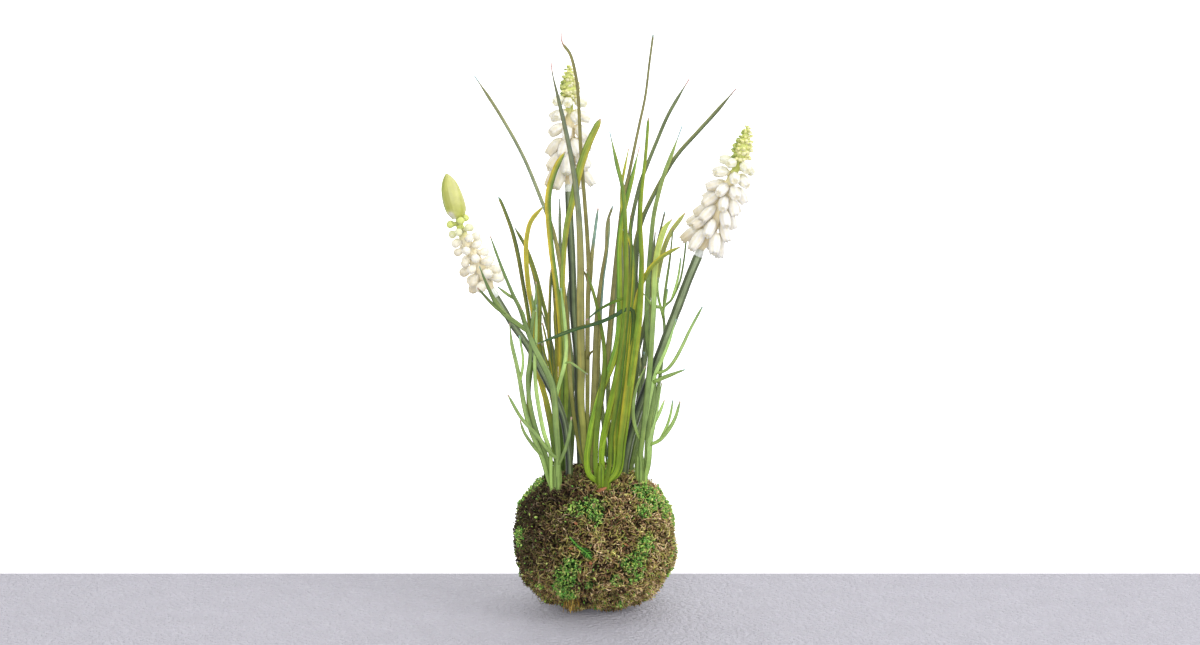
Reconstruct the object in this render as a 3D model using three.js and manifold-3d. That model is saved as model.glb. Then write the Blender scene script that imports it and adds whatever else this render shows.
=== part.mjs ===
// A moss-covered ball of soil, planted with three white grape hyacinths and eight
// sprigs of grass. Millimetres, +Z up. The origin is the centre of the small flat spot
// that the ball stands on, and the front of the plant faces -Y.
import * as THREE from "three";
import { mergeVertices } from "three/addons/utils/BufferGeometryUtils.js";
import Module from "manifold-3d";

const wasm = await Module();
wasm.setup();

// ---------------------------------------------------------------- driving dimensions
const ballWidth = 78.6;
const ballHalfHeight = 35.2;
const ballMiddle = 34; // height of the widest level; the rest is cut off by the flat spot
const ballSquareness = 2.4; // 2 is a plain ellipsoid, more is fuller at the shoulders
const mossThickness = 4.5;
const gap = 0.3; // between pieces that touch
const pegDepth = 16; // how far stems and sprigs reach into the ball
const stemRadius = 1.65;
const pinRadius = 0.9; // the pins that hold a flower head on its stem and a tip on its head
const footRadius = 2.5; // a sprig's foot, where its blades grow together
const footRise = 6; // how far the foot stands out of the ball
const leastThickness = 0.7; // of a blade
const clearWay = 0.95; // kept between the middle parts of blades that pass each other

// The plant is drawn as it is seen from the front, from this point. A blade's points are
// where it is seen on the upright plane through the ball's middle, and its depth says how
// far behind that plane it really is.
const eye = new THREE.Vector3(2.4, -1284, 343.7);

const colours = {
  moss: "#6a5a35",
  soil: "#3a2c20",
  stem: "#71816a",
  floret: "#f0ebdd",
  tip: "#c3d660",
  pale: "#86ae68",
  edged: "#8b9a3e",
  fresh: "#7fa52e",
  olive: "#857f50",
  greyGreen: "#6e7a52",
};

// ---------------------------------------------------------------- helpers
// Random numbers from 0 to 1, the same ones in each run.
function seeded(seed) {
  let state = seed;
  return () => {
    state = (state + 0x6d2b79f5) | 0;
    let t = Math.imul(state ^ (state >>> 15), 1 | state);
    t = (t + Math.imul(t ^ (t >>> 7), 61 | t)) ^ t;
    return ((t ^ (t >>> 14)) >>> 0) / 4294967296;
  };
}

const mix = (a, b, t) => a + (b - a) * t;

// Reads a list of [place, value] pairs as one smooth rise and fall.
function profile(pairs, t) {
  let k = 1;
  while (k < pairs.length - 1 && pairs[k][0] < t) k += 1;
  const [from, low] = pairs[k - 1];
  const [to, high] = pairs[k];
  const part = THREE.MathUtils.clamp((t - from) / (to - from), 0, 1);
  return mix(low, high, part * part * (3 - 2 * part));
}

function toSolid(geometry) {
  const bare = geometry.clone();
  bare.deleteAttribute("normal");
  bare.deleteAttribute("uv");
  const merged = mergeVertices(bare, 1e-4);
  const vertProperties = new Float32Array(merged.attributes.position.array);
  const triVerts = new Uint32Array(merged.index.array);
  return new wasm.Manifold(new wasm.Mesh({ numProp: 3, vertProperties, triVerts }));
}

function toMesh(name, solid, colour, roughness) {
  const { vertProperties, triVerts } = solid.getMesh();
  const geometry = new THREE.BufferGeometry();
  geometry.setAttribute("position", new THREE.BufferAttribute(vertProperties, 3));
  geometry.setIndex(new THREE.BufferAttribute(triVerts, 1));
  geometry.computeVertexNormals();
  const material = new THREE.MeshStandardMaterial({ color: colour, roughness, metalness: 0 });
  const mesh = new THREE.Mesh(geometry, material);
  mesh.name = name;
  return mesh;
}

const joined = (solids) => solids.reduce((all, next) => all.add(next));

// The real place of what is seen at (x, z) and stands at this depth.
function seenAt(x, z, depth) {
  const reach = (depth - eye.y) / -eye.y;
  return new THREE.Vector3(mix(eye.x, x, reach), depth, mix(eye.z, z, reach));
}

// Where a real point is seen, with its depth.
function asSeen(point) {
  const reach = (point.y - eye.y) / -eye.y;
  const x = eye.x + (point.x - eye.x) / reach;
  const z = eye.z + (point.z - eye.z) / reach;
  return new THREE.Vector3(x, point.y, z);
}

const smoothCurve = (points) => new THREE.CatmullRomCurve3(points, false, "catmullrom", 0.5);

// A closed rod along a route: place(t) is its middle line from 0 to 1, halves(t) its half
// width and half thickness, and turn(t) how far its flat side is turned from the front.
function rod(sides, rings, place, halves, turn) {
  const geometry = new THREE.CylinderGeometry(1, 1, 1, sides, rings);
  const position = geometry.attributes.position;
  const step = 0.01;
  for (let i = 0; i < position.count; i += 1) {
    const t = position.getY(i) + 0.5;
    const ahead = place(Math.min(t + step, 1));
    const along = ahead.sub(place(Math.max(t - step, 0))).normalize();
    const facing = new THREE.Vector3(0, -1, 0);
    facing.addScaledVector(along, -facing.dot(along)).normalize();
    facing.applyAxisAngle(along, turn(t));
    const across = new THREE.Vector3().crossVectors(along, facing);
    const [halfWidth, halfThickness] = halves(t);
    const at = place(t);
    at.addScaledVector(across, position.getX(i) * halfWidth);
    at.addScaledVector(facing, position.getZ(i) * halfThickness);
    position.setXYZ(i, at.x, at.y, at.z);
  }
  return toSolid(geometry);
}

// A turned shape from [radius, height] pairs, standing at base and pointing along axis.
function turned(pairs, sides, base, axis) {
  const points = pairs.map(([radius, height]) => new THREE.Vector2(radius, height));
  const geometry = new THREE.LatheGeometry(points, sides);
  const up = new THREE.Vector3(0, 1, 0);
  const lean = new THREE.Quaternion().setFromUnitVectors(up, axis.clone().normalize());
  geometry.applyQuaternion(lean);
  geometry.translate(base.x, base.y, base.z);
  return toSolid(geometry);
}

function cylinder(radius, length, sides, base, axis) {
  return turned([[0, 0], [radius, 0], [radius, length], [0, length]], sides, base, axis);
}

// ---------------------------------------------------------------- the ball
// Distance from the ball's middle to its surface, inset by some millimetres.
function ballReach(direction, inset) {
  const level = Math.hypot(direction.x, direction.y) / (ballWidth / 2 - inset);
  const upright = Math.abs(direction.z) / (ballHalfHeight - inset);
  return (level ** ballSquareness + upright ** ballSquareness) ** (-1 / ballSquareness);
}

// The point of the ball's top over (x, y).
function ballTop(x, y) {
  const level = Math.hypot(x, y) / (ballWidth / 2);
  const height = ballHalfHeight * (1 - level ** ballSquareness) ** (1 / ballSquareness);
  return new THREE.Vector3(x, y, ballMiddle + height);
}

// Tufts of moss: round swellings scattered evenly over the ball, each with its own size.
const tuftCount = 120;
const tuftHeights = [0.6, 2.6];
const tuftSizes = [0.13, 0.22]; // in radians, as seen from the ball's middle
const tuftLevel = 1.1; // the tufts' average height, taken off to keep the ball's size
const goldenAngle = 2.39996;
const tuftRandom = seeded(11);
const tufts = Array.from({ length: tuftCount }, (_, i) => {
  const z = 1 - (2 * (i + 0.5)) / tuftCount;
  const around = i * goldenAngle + tuftRandom();
  const level = Math.sqrt(1 - z * z);
  const direction = new THREE.Vector3(level * Math.cos(around), level * Math.sin(around), z);
  const height = mix(...tuftHeights, tuftRandom());
  return { direction, height, size: mix(...tuftSizes, tuftRandom()) };
});

function relief(direction) {
  let most = 0;
  for (const tuft of tufts) {
    const angle = direction.angleTo(tuft.direction);
    most = Math.max(most, tuft.height * Math.exp(-((angle / tuft.size) ** 2)));
  }
  return most - tuftLevel;
}

function ballSolid(columns, rows, inset, floor, rough) {
  const geometry = new THREE.SphereGeometry(1, columns, rows);
  geometry.rotateX(Math.PI / 2);
  const position = geometry.attributes.position;
  const direction = new THREE.Vector3();
  for (let i = 0; i < position.count; i += 1) {
    direction.fromBufferAttribute(position, i).normalize();
    const reach = ballReach(direction, inset) + (rough ? relief(direction) : 0);
    position.setXYZ(i, direction.x * reach, direction.y * reach, ballMiddle + direction.z * reach);
  }
  const below = new THREE.BoxGeometry(2 * ballWidth, 2 * ballWidth, ballWidth);
  below.translate(0, 0, floor - ballWidth / 2);
  return toSolid(geometry).subtract(toSolid(below));
}

// ---------------------------------------------------------------- flowers
// The two kinds of floret, with [lowest, highest] values along the head: where their tiers
// stand from 0 to 1, how far they hang down in radians, their lengths and their widths.
// The shape is turned: radius in widths, height in lengths.
const bells = {
  shape: [[0, 0], [0.56, 0.45], [0.42, 1], [0, 1]],
  sides: 5,
  tierSpan: [0.2, 0.95],
  hang: [0.9, 0.15],
  lengths: [10.4, 6],
  widths: [6, 5.4],
  headReach: 11.5, // the most that a floret stands out from the head's middle line
};
const knobs = {
  shape: [[0, 0], [0.54, 0.66], [0.32, 1], [0, 1]],
  sides: 4,
  tierSpan: [0.1, 0.93],
  hang: [0.3, -0.25],
  lengths: [8.2, 3.6],
  widths: [4.6, 3],
  headReach: 10.5,
};
const floretsAround = 5;
const rachisShape = [[0, 1.75], [0.12, 2.1], [0.6, 2.2], [1, 1.5]]; // [place, radius]

// Each flower: where its stem leaves the ball, the points of its stem, its head and its
// green top as seen, the depth of its head, and its florets.
const flowers = [
  {
    side: "left",
    root: [-12.3, -9],
    depth: -5,
    stem: [
      [-12.6, 74], [-13.6, 83], [-15, 92], [-18, 101], [-22, 109], [-28, 121],
      [-33, 130], [-39, 138.5], [-44, 147], [-48, 153.5],
    ],
    head: [[-49.5, 156], [-56, 168], [-61, 178], [-65.5, 189.5]],
    top: [[-65.9, 190.5], [-68.7, 200], [-71.5, 211.5]],
    tiers: 8,
    florets: knobs,
  },
  {
    side: "back",
    root: [-7, 14],
    depth: 24,
    stem: [[-7.5, 90], [-8, 108], [-8.6, 126], [-10.2, 144], [-11, 169], [-12, 189], [-12.4, 204]],
    head: [[-12.5, 206], [-12.4, 220], [-12.2, 235], [-12, 248]],
    top: [[-12, 248.6], [-12, 256], [-12.2, 263.8]],
    tiers: 6,
    florets: bells,
  },
  {
    side: "right",
    root: [14, -3],
    depth: -8,
    stem: [
      [15.4, 77], [17.7, 87], [21, 98], [25.4, 110], [29.5, 120.5], [34.9, 135],
      [39.8, 148], [44.6, 161], [49.3, 172.5],
    ],
    head: [[50.3, 175], [56, 188], [62, 202], [68.5, 218]],
    top: [[68.8, 218.8], [70.6, 226], [72.7, 235]],
    tiers: 7,
    florets: bells,
  },
];

const tilt = 0.2; // the most that a floret, or a bead, is turned by chance

// The direction of a curve at t, and the one across it that points to the right.
function frameAt(place, t) {
  const along = place(Math.min(t + 0.02, 1)).sub(place(t - 0.02)).normalize();
  return [along, new THREE.Vector3(0, -1, 0).cross(along).normalize()];
}

// The head's florets stand in tiers round the rachis, each tier turned against the last.
// Bells hang at the bottom and open out towards the top; knobs stand straight out.
function headSolid(flower, place, random) {
  const { shape, sides, tierSpan, hang, lengths, widths } = flower.florets;
  const rachis = (t) => profile(rachisShape, t);
  const solids = [rod(6, 4, place, (t) => [rachis(t), rachis(t)], () => 0)];
  for (let tier = 0; tier < flower.tiers; tier += 1) {
    const rise = tier / (flower.tiers - 1);
    const t = mix(...tierSpan, rise);
    const [along, side] = frameAt(place, t);
    for (let k = 0; k < floretsAround; k += 1) {
      const turn = k + (tier % 2) / 2 + tilt * (random() - 0.5);
      const out = side.clone().applyAxisAngle(along, (turn / floretsAround) * 2 * Math.PI);
      const down = mix(...hang, rise) + tilt * (random() - 0.5);
      const axis = out.clone().multiplyScalar(Math.cos(down)).addScaledVector(along, -Math.sin(down));
      const [length, width] = [mix(...lengths, rise), mix(...widths, rise)];
      const start = place(t).addScaledVector(out, rachis(t) - 1);
      solids.push(turned(shape.map(([r, h]) => [r * width, h * length]), sides, start, axis));
    }
  }
  return joined(solids);
}

// Unopened buds: beads in rings round a small cone.
const coneShape = [[0, 1.7], [0.25, 2.9], [0.55, 2.4], [1, 0.6]]; // [place, radius]
const beadRings = 3;
const beadSpan = [0.16, 0.8];
const beadRadii = [2.1, 1.35];
const lowestBeads = 5; // each ring above has one bead less

function beadedTip(place, random) {
  const cone = (t) => profile(coneShape, t);
  const solids = [rod(6, 3, place, (t) => [cone(t), cone(t)], () => 0)];
  for (let ring = 0; ring < beadRings; ring += 1) {
    const rise = ring / (beadRings - 1);
    const t = mix(...beadSpan, rise);
    const [along, side] = frameAt(place, t);
    const beads = lowestBeads - ring;
    for (let k = 0; k < beads; k += 1) {
      const angle = ((k + (ring % 2) / 2) / beads) * 2 * Math.PI + tilt * random();
      const out = side.clone().applyAxisAngle(along, angle);
      const bead = new THREE.OctahedronGeometry(mix(...beadRadii, rise));
      bead.applyQuaternion(new THREE.Quaternion().setFromUnitVectors(new THREE.Vector3(1, 0, 0), out));
      const at = place(t).addScaledVector(out, cone(t));
      bead.translate(at.x, at.y, at.z);
      solids.push(toSolid(bead));
    }
  }
  return joined(solids);
}

// A smooth pointed bud.
const budShape = [[0, 1.6], [0.1, 3.9], [0.32, 5.1], [0.6, 4.2], [0.85, 2], [1, 0.4]];

function smoothBud(place) {
  const reach = (t) => profile(budShape, t);
  return rod(10, 9, place, (t) => [reach(t), reach(t)], () => 0);
}

// ---------------------------------------------------------------- grass
// A blade's width, how much further back than its start its tip stands, and the points
// where it is seen, from its start to its tip. A blade without a parent grows from its
// sprig's foot, and a twig starts on the stalk that it is listed with.
const blade = (wide, lean, ...seen) => ({ wide, lean, seen });

const sprigs = [
  {
    name: "left_front_sprig",
    root: [-18.2, -20],
    colour: colours.pale,
    stalks: [
      [
        blade(2.9, -5, [-17.9, 74], [-18.8, 90], [-20, 107], [-23.5, 117], [-29, 128],
          [-33, 138], [-36, 147], [-39.4, 154], [-45, 168], [-50, 182]),
        blade(2.3, -7, [-32.6, 136], [-37, 139.5], [-43, 144], [-47.6, 150], [-51.5, 158],
          [-55.3, 167.5]),
        blade(1.1, -9, [-43, 144], [-48.5, 148.5], [-56.2, 157]),
        blade(1.1, 3, [-38.3, 151.5], [-42, 154], [-46.5, 157.5]),
        blade(1.1, -3, [-33.6, 140], [-34.2, 143.5], [-35.4, 147.5]),
        blade(1.9, 3, [-19.3, 101], [-17.3, 110], [-14.6, 120], [-13.8, 130], [-14.6, 142], [-16.4, 157]),
        blade(0.9, -4, [-14.6, 120], [-12.2, 121], [-8.5, 118.6], [-3.5, 115]),
        blade(1.4, -6, [-17.9, 73], [-23, 78], [-28, 85], [-35.5, 93.5], [-42, 105]),
        blade(1.3, -4, [-17.8, 70], [-14.6, 78], [-12.4, 86], [-11.4, 94]),
      ],
      [
        blade(2.3, 10, [-23.5, 71], [-28.5, 81.5], [-32, 91], [-34.4, 101], [-36.2, 112],
          [-38, 121], [-40, 130], [-41, 140]),
        blade(1.0, 2, [-36.1, 111], [-34.6, 122], [-36.4, 134]),
        blade(1.2, -5, [-25.3, 75], [-29.5, 80], [-34, 86.5], [-36.2, 92.5]),
      ],
      [
        blade(2.1, 4, [-22.2, 73], [-26.8, 83], [-29.8, 93], [-31.7, 103], [-32.4, 113],
          [-31.3, 122], [-30.8, 132], [-29.9, 142], [-28.4, 152], [-28.2, 160]),
        blade(0.9, -3, [-29.4, 146], [-29.8, 150], [-30.2, 154]),
      ],
      [
        blade(1.9, -2, [-21, 75], [-24.6, 86], [-26.8, 97], [-28.4, 108], [-29, 120],
          [-28.3, 134], [-28, 149]),
      ],
    ],
  },
  {
    name: "left_back_sprig",
    root: [-15.5, 8],
    colour: colours.edged,
    stalks: [
      [
        blade(2.5, -3, [-16.5, 90], [-16.4, 112], [-16.4, 135], [-18.4, 157], [-20.8, 175],
          [-22.3, 194], [-22, 203], [-20, 211], [-17.3, 217.5], [-14, 222.5]),
      ],
      [
        blade(2.3, -22, [-14.6, 90], [-13.7, 112], [-14.4, 130], [-15.6, 146], [-15.3, 166],
          [-13.8, 185], [-10.7, 199], [-7.4, 213.6], [-3.3, 225.7], [2.6, 238.3]),
      ],
      [
        blade(2.5, -16, [-19.6, 84], [-23, 100], [-26.9, 115], [-28.6, 130], [-29.6, 144.5],
          [-31.8, 157], [-33, 172], [-32.5, 182], [-30.3, 189.7], [-24.5, 196.5]),
      ],
      [
        blade(2.1, 10, [-22, 75], [-28.3, 84], [-31.4, 96], [-32, 107], [-30.8, 119],
          [-30.6, 131], [-32, 144], [-34.3, 158], [-36.6, 172], [-39.4, 184], [-43.7, 196], [-46, 201]),
      ],
      [
        blade(2.0, 19, [-18.6, 92], [-20.6, 115], [-22.4, 138], [-25.4, 152], [-28.4, 164],
          [-32.7, 176], [-38.2, 186]),
      ],
      [blade(2.0, 6, [-21, 88], [-24.8, 108], [-26.6, 130], [-26.4, 150], [-28.7, 163], [-34, 176.5])],
      [blade(1.4, 14, [-18.6, 88], [-21, 110], [-21.9, 135], [-21.6, 152], [-21, 166])],
      [blade(1.8, 2, [-17.6, 84], [-18.7, 105], [-18.6, 128], [-19.4, 143], [-19.2, 152])],
      [
        blade(0.9, -20, [-18.6, 95], [-20.4, 115], [-22.6, 128], [-25.2, 140]),
        blade(0.8, -4, [-20.4, 115], [-23.2, 122], [-25.6, 130]),
      ],
    ],
  },
  {
    name: "centre_front_sprig",
    root: [3, -21.5],
    colour: colours.fresh,
    stalks: [
      [
        blade(2.6, 8, [-0.6, 66], [-2.9, 73], [-3, 81], [-0.6, 94], [3.7, 109], [8.4, 121],
          [11.4, 135], [11.8, 157], [11.6, 175], [12.6, 188], [16, 203], [21.2, 225]),
      ],
      [
        blade(2.2, 2, [0.9, 68], [0.4, 80], [1.2, 92], [3, 105], [4.6, 119], [4.2, 130],
          [2.4, 141], [0.5, 150], [-2, 159], [-4.2, 166]),
      ],
      [
        blade(2.4, -12, [2.5, 70], [3, 79], [5, 90], [7.5, 101], [10.2, 113], [12.6, 127],
          [14.2, 142], [15, 165], [14.4, 190], [13.2, 205], [10.6, 216], [7, 232]),
        blade(0.9, -6, [14.6, 152], [10.6, 151], [4.4, 148], [0, 145], [-4, 141.4]),
      ],
      [
        blade(1.9, 14, [3.4, 76], [5.4, 88], [8.2, 100], [11, 112], [13.4, 125], [15.2, 145],
          [14.6, 168], [13, 190], [12.8, 206], [16, 224]),
      ],
      [
        blade(2.7, -17, [9, 66.5], [12, 74], [14, 85], [15.5, 98], [17.4, 113], [19.3, 127],
          [20.9, 140], [21.9, 155], [22.3, 172], [21.6, 188], [22.2, 203], [24, 220], [25.4, 238.5]),
      ],
      [
        blade(2.5, -4, [8, 67], [11, 75], [12.9, 86], [14.4, 98], [16, 112], [17.4, 128],
          [18.7, 143], [20.8, 154.5], [24.7, 164], [29, 169.5], [34.9, 174], [41, 177]),
      ],
      [
        blade(2.1, 4, [7.4, 69], [9.6, 78], [10.5, 90], [11.7, 102], [13.6, 115], [15.4, 130],
          [17.2, 147], [18.4, 162], [17.9, 174], [16.2, 181.5], [13.4, 185.3]),
      ],
      [blade(2.4, -3, [5, 67], [5.5, 74.5])],
      [
        blade(2.0, -7, [9, 70], [12.8, 84], [15, 100], [16.8, 120], [18.3, 137], [18.1, 146],
          [14.6, 146.6], [10.4, 144.2], [4.4, 141.2], [-1.7, 139.2], [-7.8, 137.6], [-14, 135.4],
          [-20, 133], [-26, 130.6]),
      ],
      [
        blade(1.8, -26, [6, 72], [8.6, 90], [11.4, 108], [13.8, 128], [16.2, 150],
          [17.4, 172], [16.8, 192]),
      ],
    ],
  },
  {
    name: "centre_back_sprig",
    root: [-2.6, -3],
    colour: colours.olive,
    stalks: [
      [
        blade(1.8, 30, [-6.6, 81], [-9.6, 91], [-11.6, 107], [-12.6, 125], [-13.4, 138],
          [-14.7, 154], [-17, 170], [-19.8, 184], [-25, 198], [-34, 220], [-45, 240], [-57, 258.5]),
      ],
      [
        blade(1.9, -4, [-3.6, 90], [-3.6, 110], [-3.6, 132], [-3.4, 150], [-3, 165], [-3.7, 182],
          [-5, 200], [-6.6, 221], [-7.6, 243], [-8.6, 256], [-11.4, 268], [-15.4, 274], [-16, 279]),
        blade(1.3, 9, [-3.4, 150], [-2.2, 162], [-1.2, 175], [1.5, 195.5]),
        blade(0.9, -5, [-3.6, 122], [-2.6, 125], [-0.4, 127]),
        blade(0.9, 5, [-3.2, 158], [-4.2, 163], [-6, 166]),
      ],
      [
        blade(3.2, -12, [-5.4, 88], [-6.8, 102], [-6.6, 118], [-6.8, 135], [-6.9, 152], [-6.9, 170],
          [-7.6, 190], [-9.6, 207], [-12.8, 224], [-17.3, 243], [-20.6, 257], [-20.8, 263.6]),
      ],
      [
        blade(2.4, -15, [-2, 86], [-0.8, 101], [0, 120], [0.6, 138], [1.8, 152], [3.5, 165],
          [5.3, 176], [5.8, 188], [8.5, 196.5]),
      ],
      [blade(1.3, 12, [-0.4, 95], [1.4, 120], [2.8, 148], [3.9, 162], [5.4, 172], [6.4, 182], [7, 190.5])],
      [
        blade(2.0, 20, [0.6, 86], [3.6, 105], [6, 125], [7.4, 141], [8.4, 152], [9.6, 165], [11.4, 183],
          [13.4, 200], [16, 211], [18.5, 223], [21.2, 236], [23.9, 249], [25.7, 264], [27.5, 278]),
      ],
    ],
  },
  {
    name: "right_front_sprig",
    root: [21.4, -8],
    colour: colours.pale,
    stalks: [
      [
        blade(2.3, -4, [20.9, 72], [22.4, 82], [24.3, 93], [26.4, 104], [28.8, 114.5],
          [32, 122], [35.4, 130.5], [39, 142]),
        blade(2.2, -10, [28, 111], [32, 113], [36.5, 114.8], [43.3, 117.4]),
        blade(1.2, 6, [29.2, 115.5], [34, 117], [38, 121.5], [41.8, 128.5], [45.7, 137], [51.5, 148]),
        blade(1.7, -8, [22.3, 81.5], [19.7, 88], [18.4, 95], [18.8, 103], [20.8, 111], [24.3, 119]),
      ],
      [
        blade(2.5, 8, [24, 71], [26.2, 82], [28.4, 92], [30.3, 102], [32.3, 111]),
        blade(1.4, -12, [25.9, 80.5], [30.6, 82.6], [35.4, 88], [38.8, 94], [41, 101.8]),
        blade(1.0, -4, [30.6, 82.6], [34.3, 89.5], [36.4, 96], [37.5, 102.3]),
        blade(1.2, 5, [28, 90], [31, 96], [33.5, 102.4]),
      ],
      [
        blade(2.3, 12, [22.6, 70], [24.3, 79], [26.2, 91], [28, 103], [28.4, 113], [26.9, 122.5],
          [25.3, 131.5], [24.8, 145], [25.4, 160], [26.4, 175], [27.9, 191], [30.2, 202], [33, 212],
          [36.6, 221.5], [41.5, 235]),
      ],
      [
        blade(1.6, 16, [23.6, 74], [26.6, 88], [29.2, 100], [31, 112], [32.4, 124], [33.4, 136],
          [32.9, 147], [36.7, 151.4], [40.6, 160], [42.6, 171], [43.7, 182]),
        blade(1.2, 4, [33.1, 144.5], [33.2, 152], [34.4, 161], [35.8, 171], [37.3, 186]),
        blade(0.9, -9, [36.7, 151.4], [38.8, 158], [40.2, 164.5], [41, 171.5]),
        blade(1.7, -9, [33.2, 142.5], [31.6, 147.5], [28.6, 148], [26, 150.6], [23.3, 154.3]),
        blade(0.9, -5, [33.1, 144.5], [30.9, 150], [30, 156], [30.2, 162]),
        blade(0.8, -4, [33, 145.6], [33.8, 151], [34.8, 156.5]),
      ],
      [
        blade(2.5, -13, [21.8, 74], [23.4, 88], [24.8, 103], [26.4, 119], [27.4, 135], [28.2, 150],
          [28.5, 163], [29.6, 173], [31.4, 180.5], [33.6, 186.4], [36.9, 190.2]),
      ],
    ],
  },
  {
    name: "right_back_sprig",
    root: [15, 10],
    colour: colours.greyGreen,
    stalks: [
      [
        blade(1.8, 24, [15.6, 88], [16.8, 108], [17, 130], [16.2, 155], [16.7, 183], [20.9, 205],
          [24.8, 216], [29.8, 228.5], [34.5, 239.5], [40.4, 250], [44.7, 257]),
      ],
      [
        blade(1.9, -6, [17, 90], [19.4, 112], [20.2, 135], [19.5, 160], [19.3, 177], [22.6, 190],
          [27, 200], [33.4, 212], [39.6, 221.6], [48, 231], [57.6, 241.6], [67, 252.6]),
      ],
      [blade(1.6, 32, [18.4, 88], [21.8, 110], [24.4, 135], [26.4, 155], [28.6, 173], [33.4, 194])],
      [
        blade(1.9, 6, [18.8, 88], [22.6, 112], [25.8, 136], [29, 157], [32.4, 174], [36, 183.5],
          [39.8, 189], [43.1, 193.4]),
      ],
      [blade(1.2, -3, [17.2, 78], [19.9, 85], [22.4, 97], [23.2, 111], [23.6, 126])],
      [blade(1.1, 15, [18.4, 79], [22.4, 90], [22.8, 105], [21.5, 121], [20.4, 140])],
    ],
  },
  {
    name: "rear_left_sprig",
    root: [-13.5, 20],
    colour: colours.greyGreen,
    stalks: [
      [blade(2.0, 8, [-14.8, 100], [-17.6, 130], [-19.6, 158], [-21.4, 184])],
      [blade(1.9, 26, [-10.4, 92], [-7.6, 118], [-6.6, 145], [-6.2, 172], [-7.6, 192])],
      [blade(1.8, 16, [-12.2, 95], [-13.4, 120], [-15.6, 148], [-16.6, 176], [-16.8, 200])],
      [blade(1.8, 32, [-17.6, 90], [-22.4, 112], [-26, 134], [-28.2, 158], [-31.6, 170])],
      [blade(1.5, 20, [-12.4, 92], [-10.8, 115], [-13, 140], [-12.4, 160])],
      [blade(1.6, 38, [-14.6, 88], [-18, 108], [-20.4, 128], [-25.6, 146])],
    ],
  },
  {
    name: "rear_right_sprig",
    root: [7.5, 22],
    colour: colours.greyGreen,
    stalks: [
      [blade(2.0, 18, [8.8, 92], [12, 120], [13.2, 148], [13, 172], [12.4, 196])],
      [blade(2.0, 8, [9.6, 95], [14.6, 122], [18.4, 150], [20.4, 178], [21.6, 208])],
      [blade(1.8, 30, [11, 92], [17.6, 115], [23.4, 138], [26.6, 160], [28.8, 184])],
      [blade(1.9, 24, [4.4, 90], [1.8, 115], [0.8, 140], [2.2, 158])],
      [blade(1.7, 36, [6.6, 92], [6.4, 115], [8, 138], [10.4, 160], [11.4, 178])],
      [blade(1.6, 14, [12.6, 90], [19, 110], [24.6, 130], [26.4, 152])],
    ],
  },
];

const pegRadius = 1.6; // at the lower end of a sprig's peg
const rootRise = 1.5; // the blades start this far above the ball, inside their sprig's foot
const bladeRandom = seeded(5);
const knotStep = 6; // between the places where a blade can be bent back or forward

// A blade's route as seen, with its depth: from the sprig's foot or from a stalk's point.
function layRoute(item, root, joint) {
  const points = item.seen.map(([x, z]) => new THREE.Vector3(x, 0, z));
  if (joint) {
    points[0] = joint.point.clone();
  } else {
    const angle = bladeRandom() * 2 * Math.PI;
    const start = root.clone().add(new THREE.Vector3(Math.cos(angle), Math.sin(angle), rootRise));
    points.unshift(asSeen(start));
  }
  const lengths = [0];
  for (let k = 1; k < points.length; k += 1) {
    const { x, z } = points[k - 1];
    lengths.push(lengths[k - 1] + Math.hypot(points[k].x - x, points[k].z - z));
  }
  const depth = points[0].y;
  points.forEach((point, k) => {
    point.y = depth + item.lean * (lengths[k] / lengths.at(-1)) ** 1.3;
  });
  const curve = smoothCurve(points);
  const total = curve.getLength();
  const shift = new Float64Array(Math.ceil(total / knotStep) + 2);
  return { item, joint, curve, total, shift };
}

// The point on some routes that is seen nearest to (x, z): there a twig starts.
function nearestJoint(routes, x, z) {
  const steps = 300;
  let best = null;
  let least = Infinity;
  for (const route of routes) {
    for (let k = 0; k <= steps; k += 1) {
      const point = route.curve.getPointAt(k / steps);
      const away = Math.hypot(point.x - x, point.z - z);
      if (away < least) {
        least = away;
        best = { route, t: k / steps, point };
      }
    }
  }
  return best;
}

// How far a route is bent back at t. A twig moves with the stalk that it starts on.
function bentBack(route, t) {
  const place = (t * route.total) / knotStep;
  const k = Math.floor(place);
  const own = mix(route.shift[k], route.shift[k + 1], place - k);
  return own + (route.joint ? bentBack(route.joint.route, route.joint.t) : 0);
}

function bladeWidth(item, t) {
  const rise = Math.min(1, 0.72 + 0.9 * t); // a little narrower at its start
  const fall = 1 - Math.max(0, (t - 0.5) / 0.5) ** 1.7; // pointed from its middle on
  return Math.max(leastThickness, item.wide * rise * fall);
}

for (const sprig of sprigs) {
  sprig.base = ballTop(...sprig.root);
  sprig.routes = [];
  for (const [main, ...twigs] of sprig.stalks) {
    const stalk = [layRoute(main, sprig.base, null)];
    for (const twig of twigs) {
      stalk.push(layRoute(twig, sprig.base, nearestJoint(stalk, ...twig.seen[0])));
    }
    for (const route of stalk) route.stalk = stalk;
    sprig.routes.push(...stalk);
  }
}

for (const flower of flowers) {
  flower.base = ballTop(...flower.root);
  const under = flower.base.clone().setZ(flower.base.z - pegDepth);
  const deepen = (points, from, to) => points.map(([x, z], k) => {
    const depth = mix(from, to, (k + 1) / points.length);
    return seenAt(x, z, depth);
  });
  const stemPoints = deepen(flower.stem, flower.root[1], flower.depth);
  flower.stemCurve = smoothCurve([under, flower.base, ...stemPoints]);
  flower.headCurve = smoothCurve(deepen(flower.head, flower.depth, flower.depth));
  flower.topCurve = smoothCurve(deepen(flower.top, flower.depth, flower.depth));
}

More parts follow.
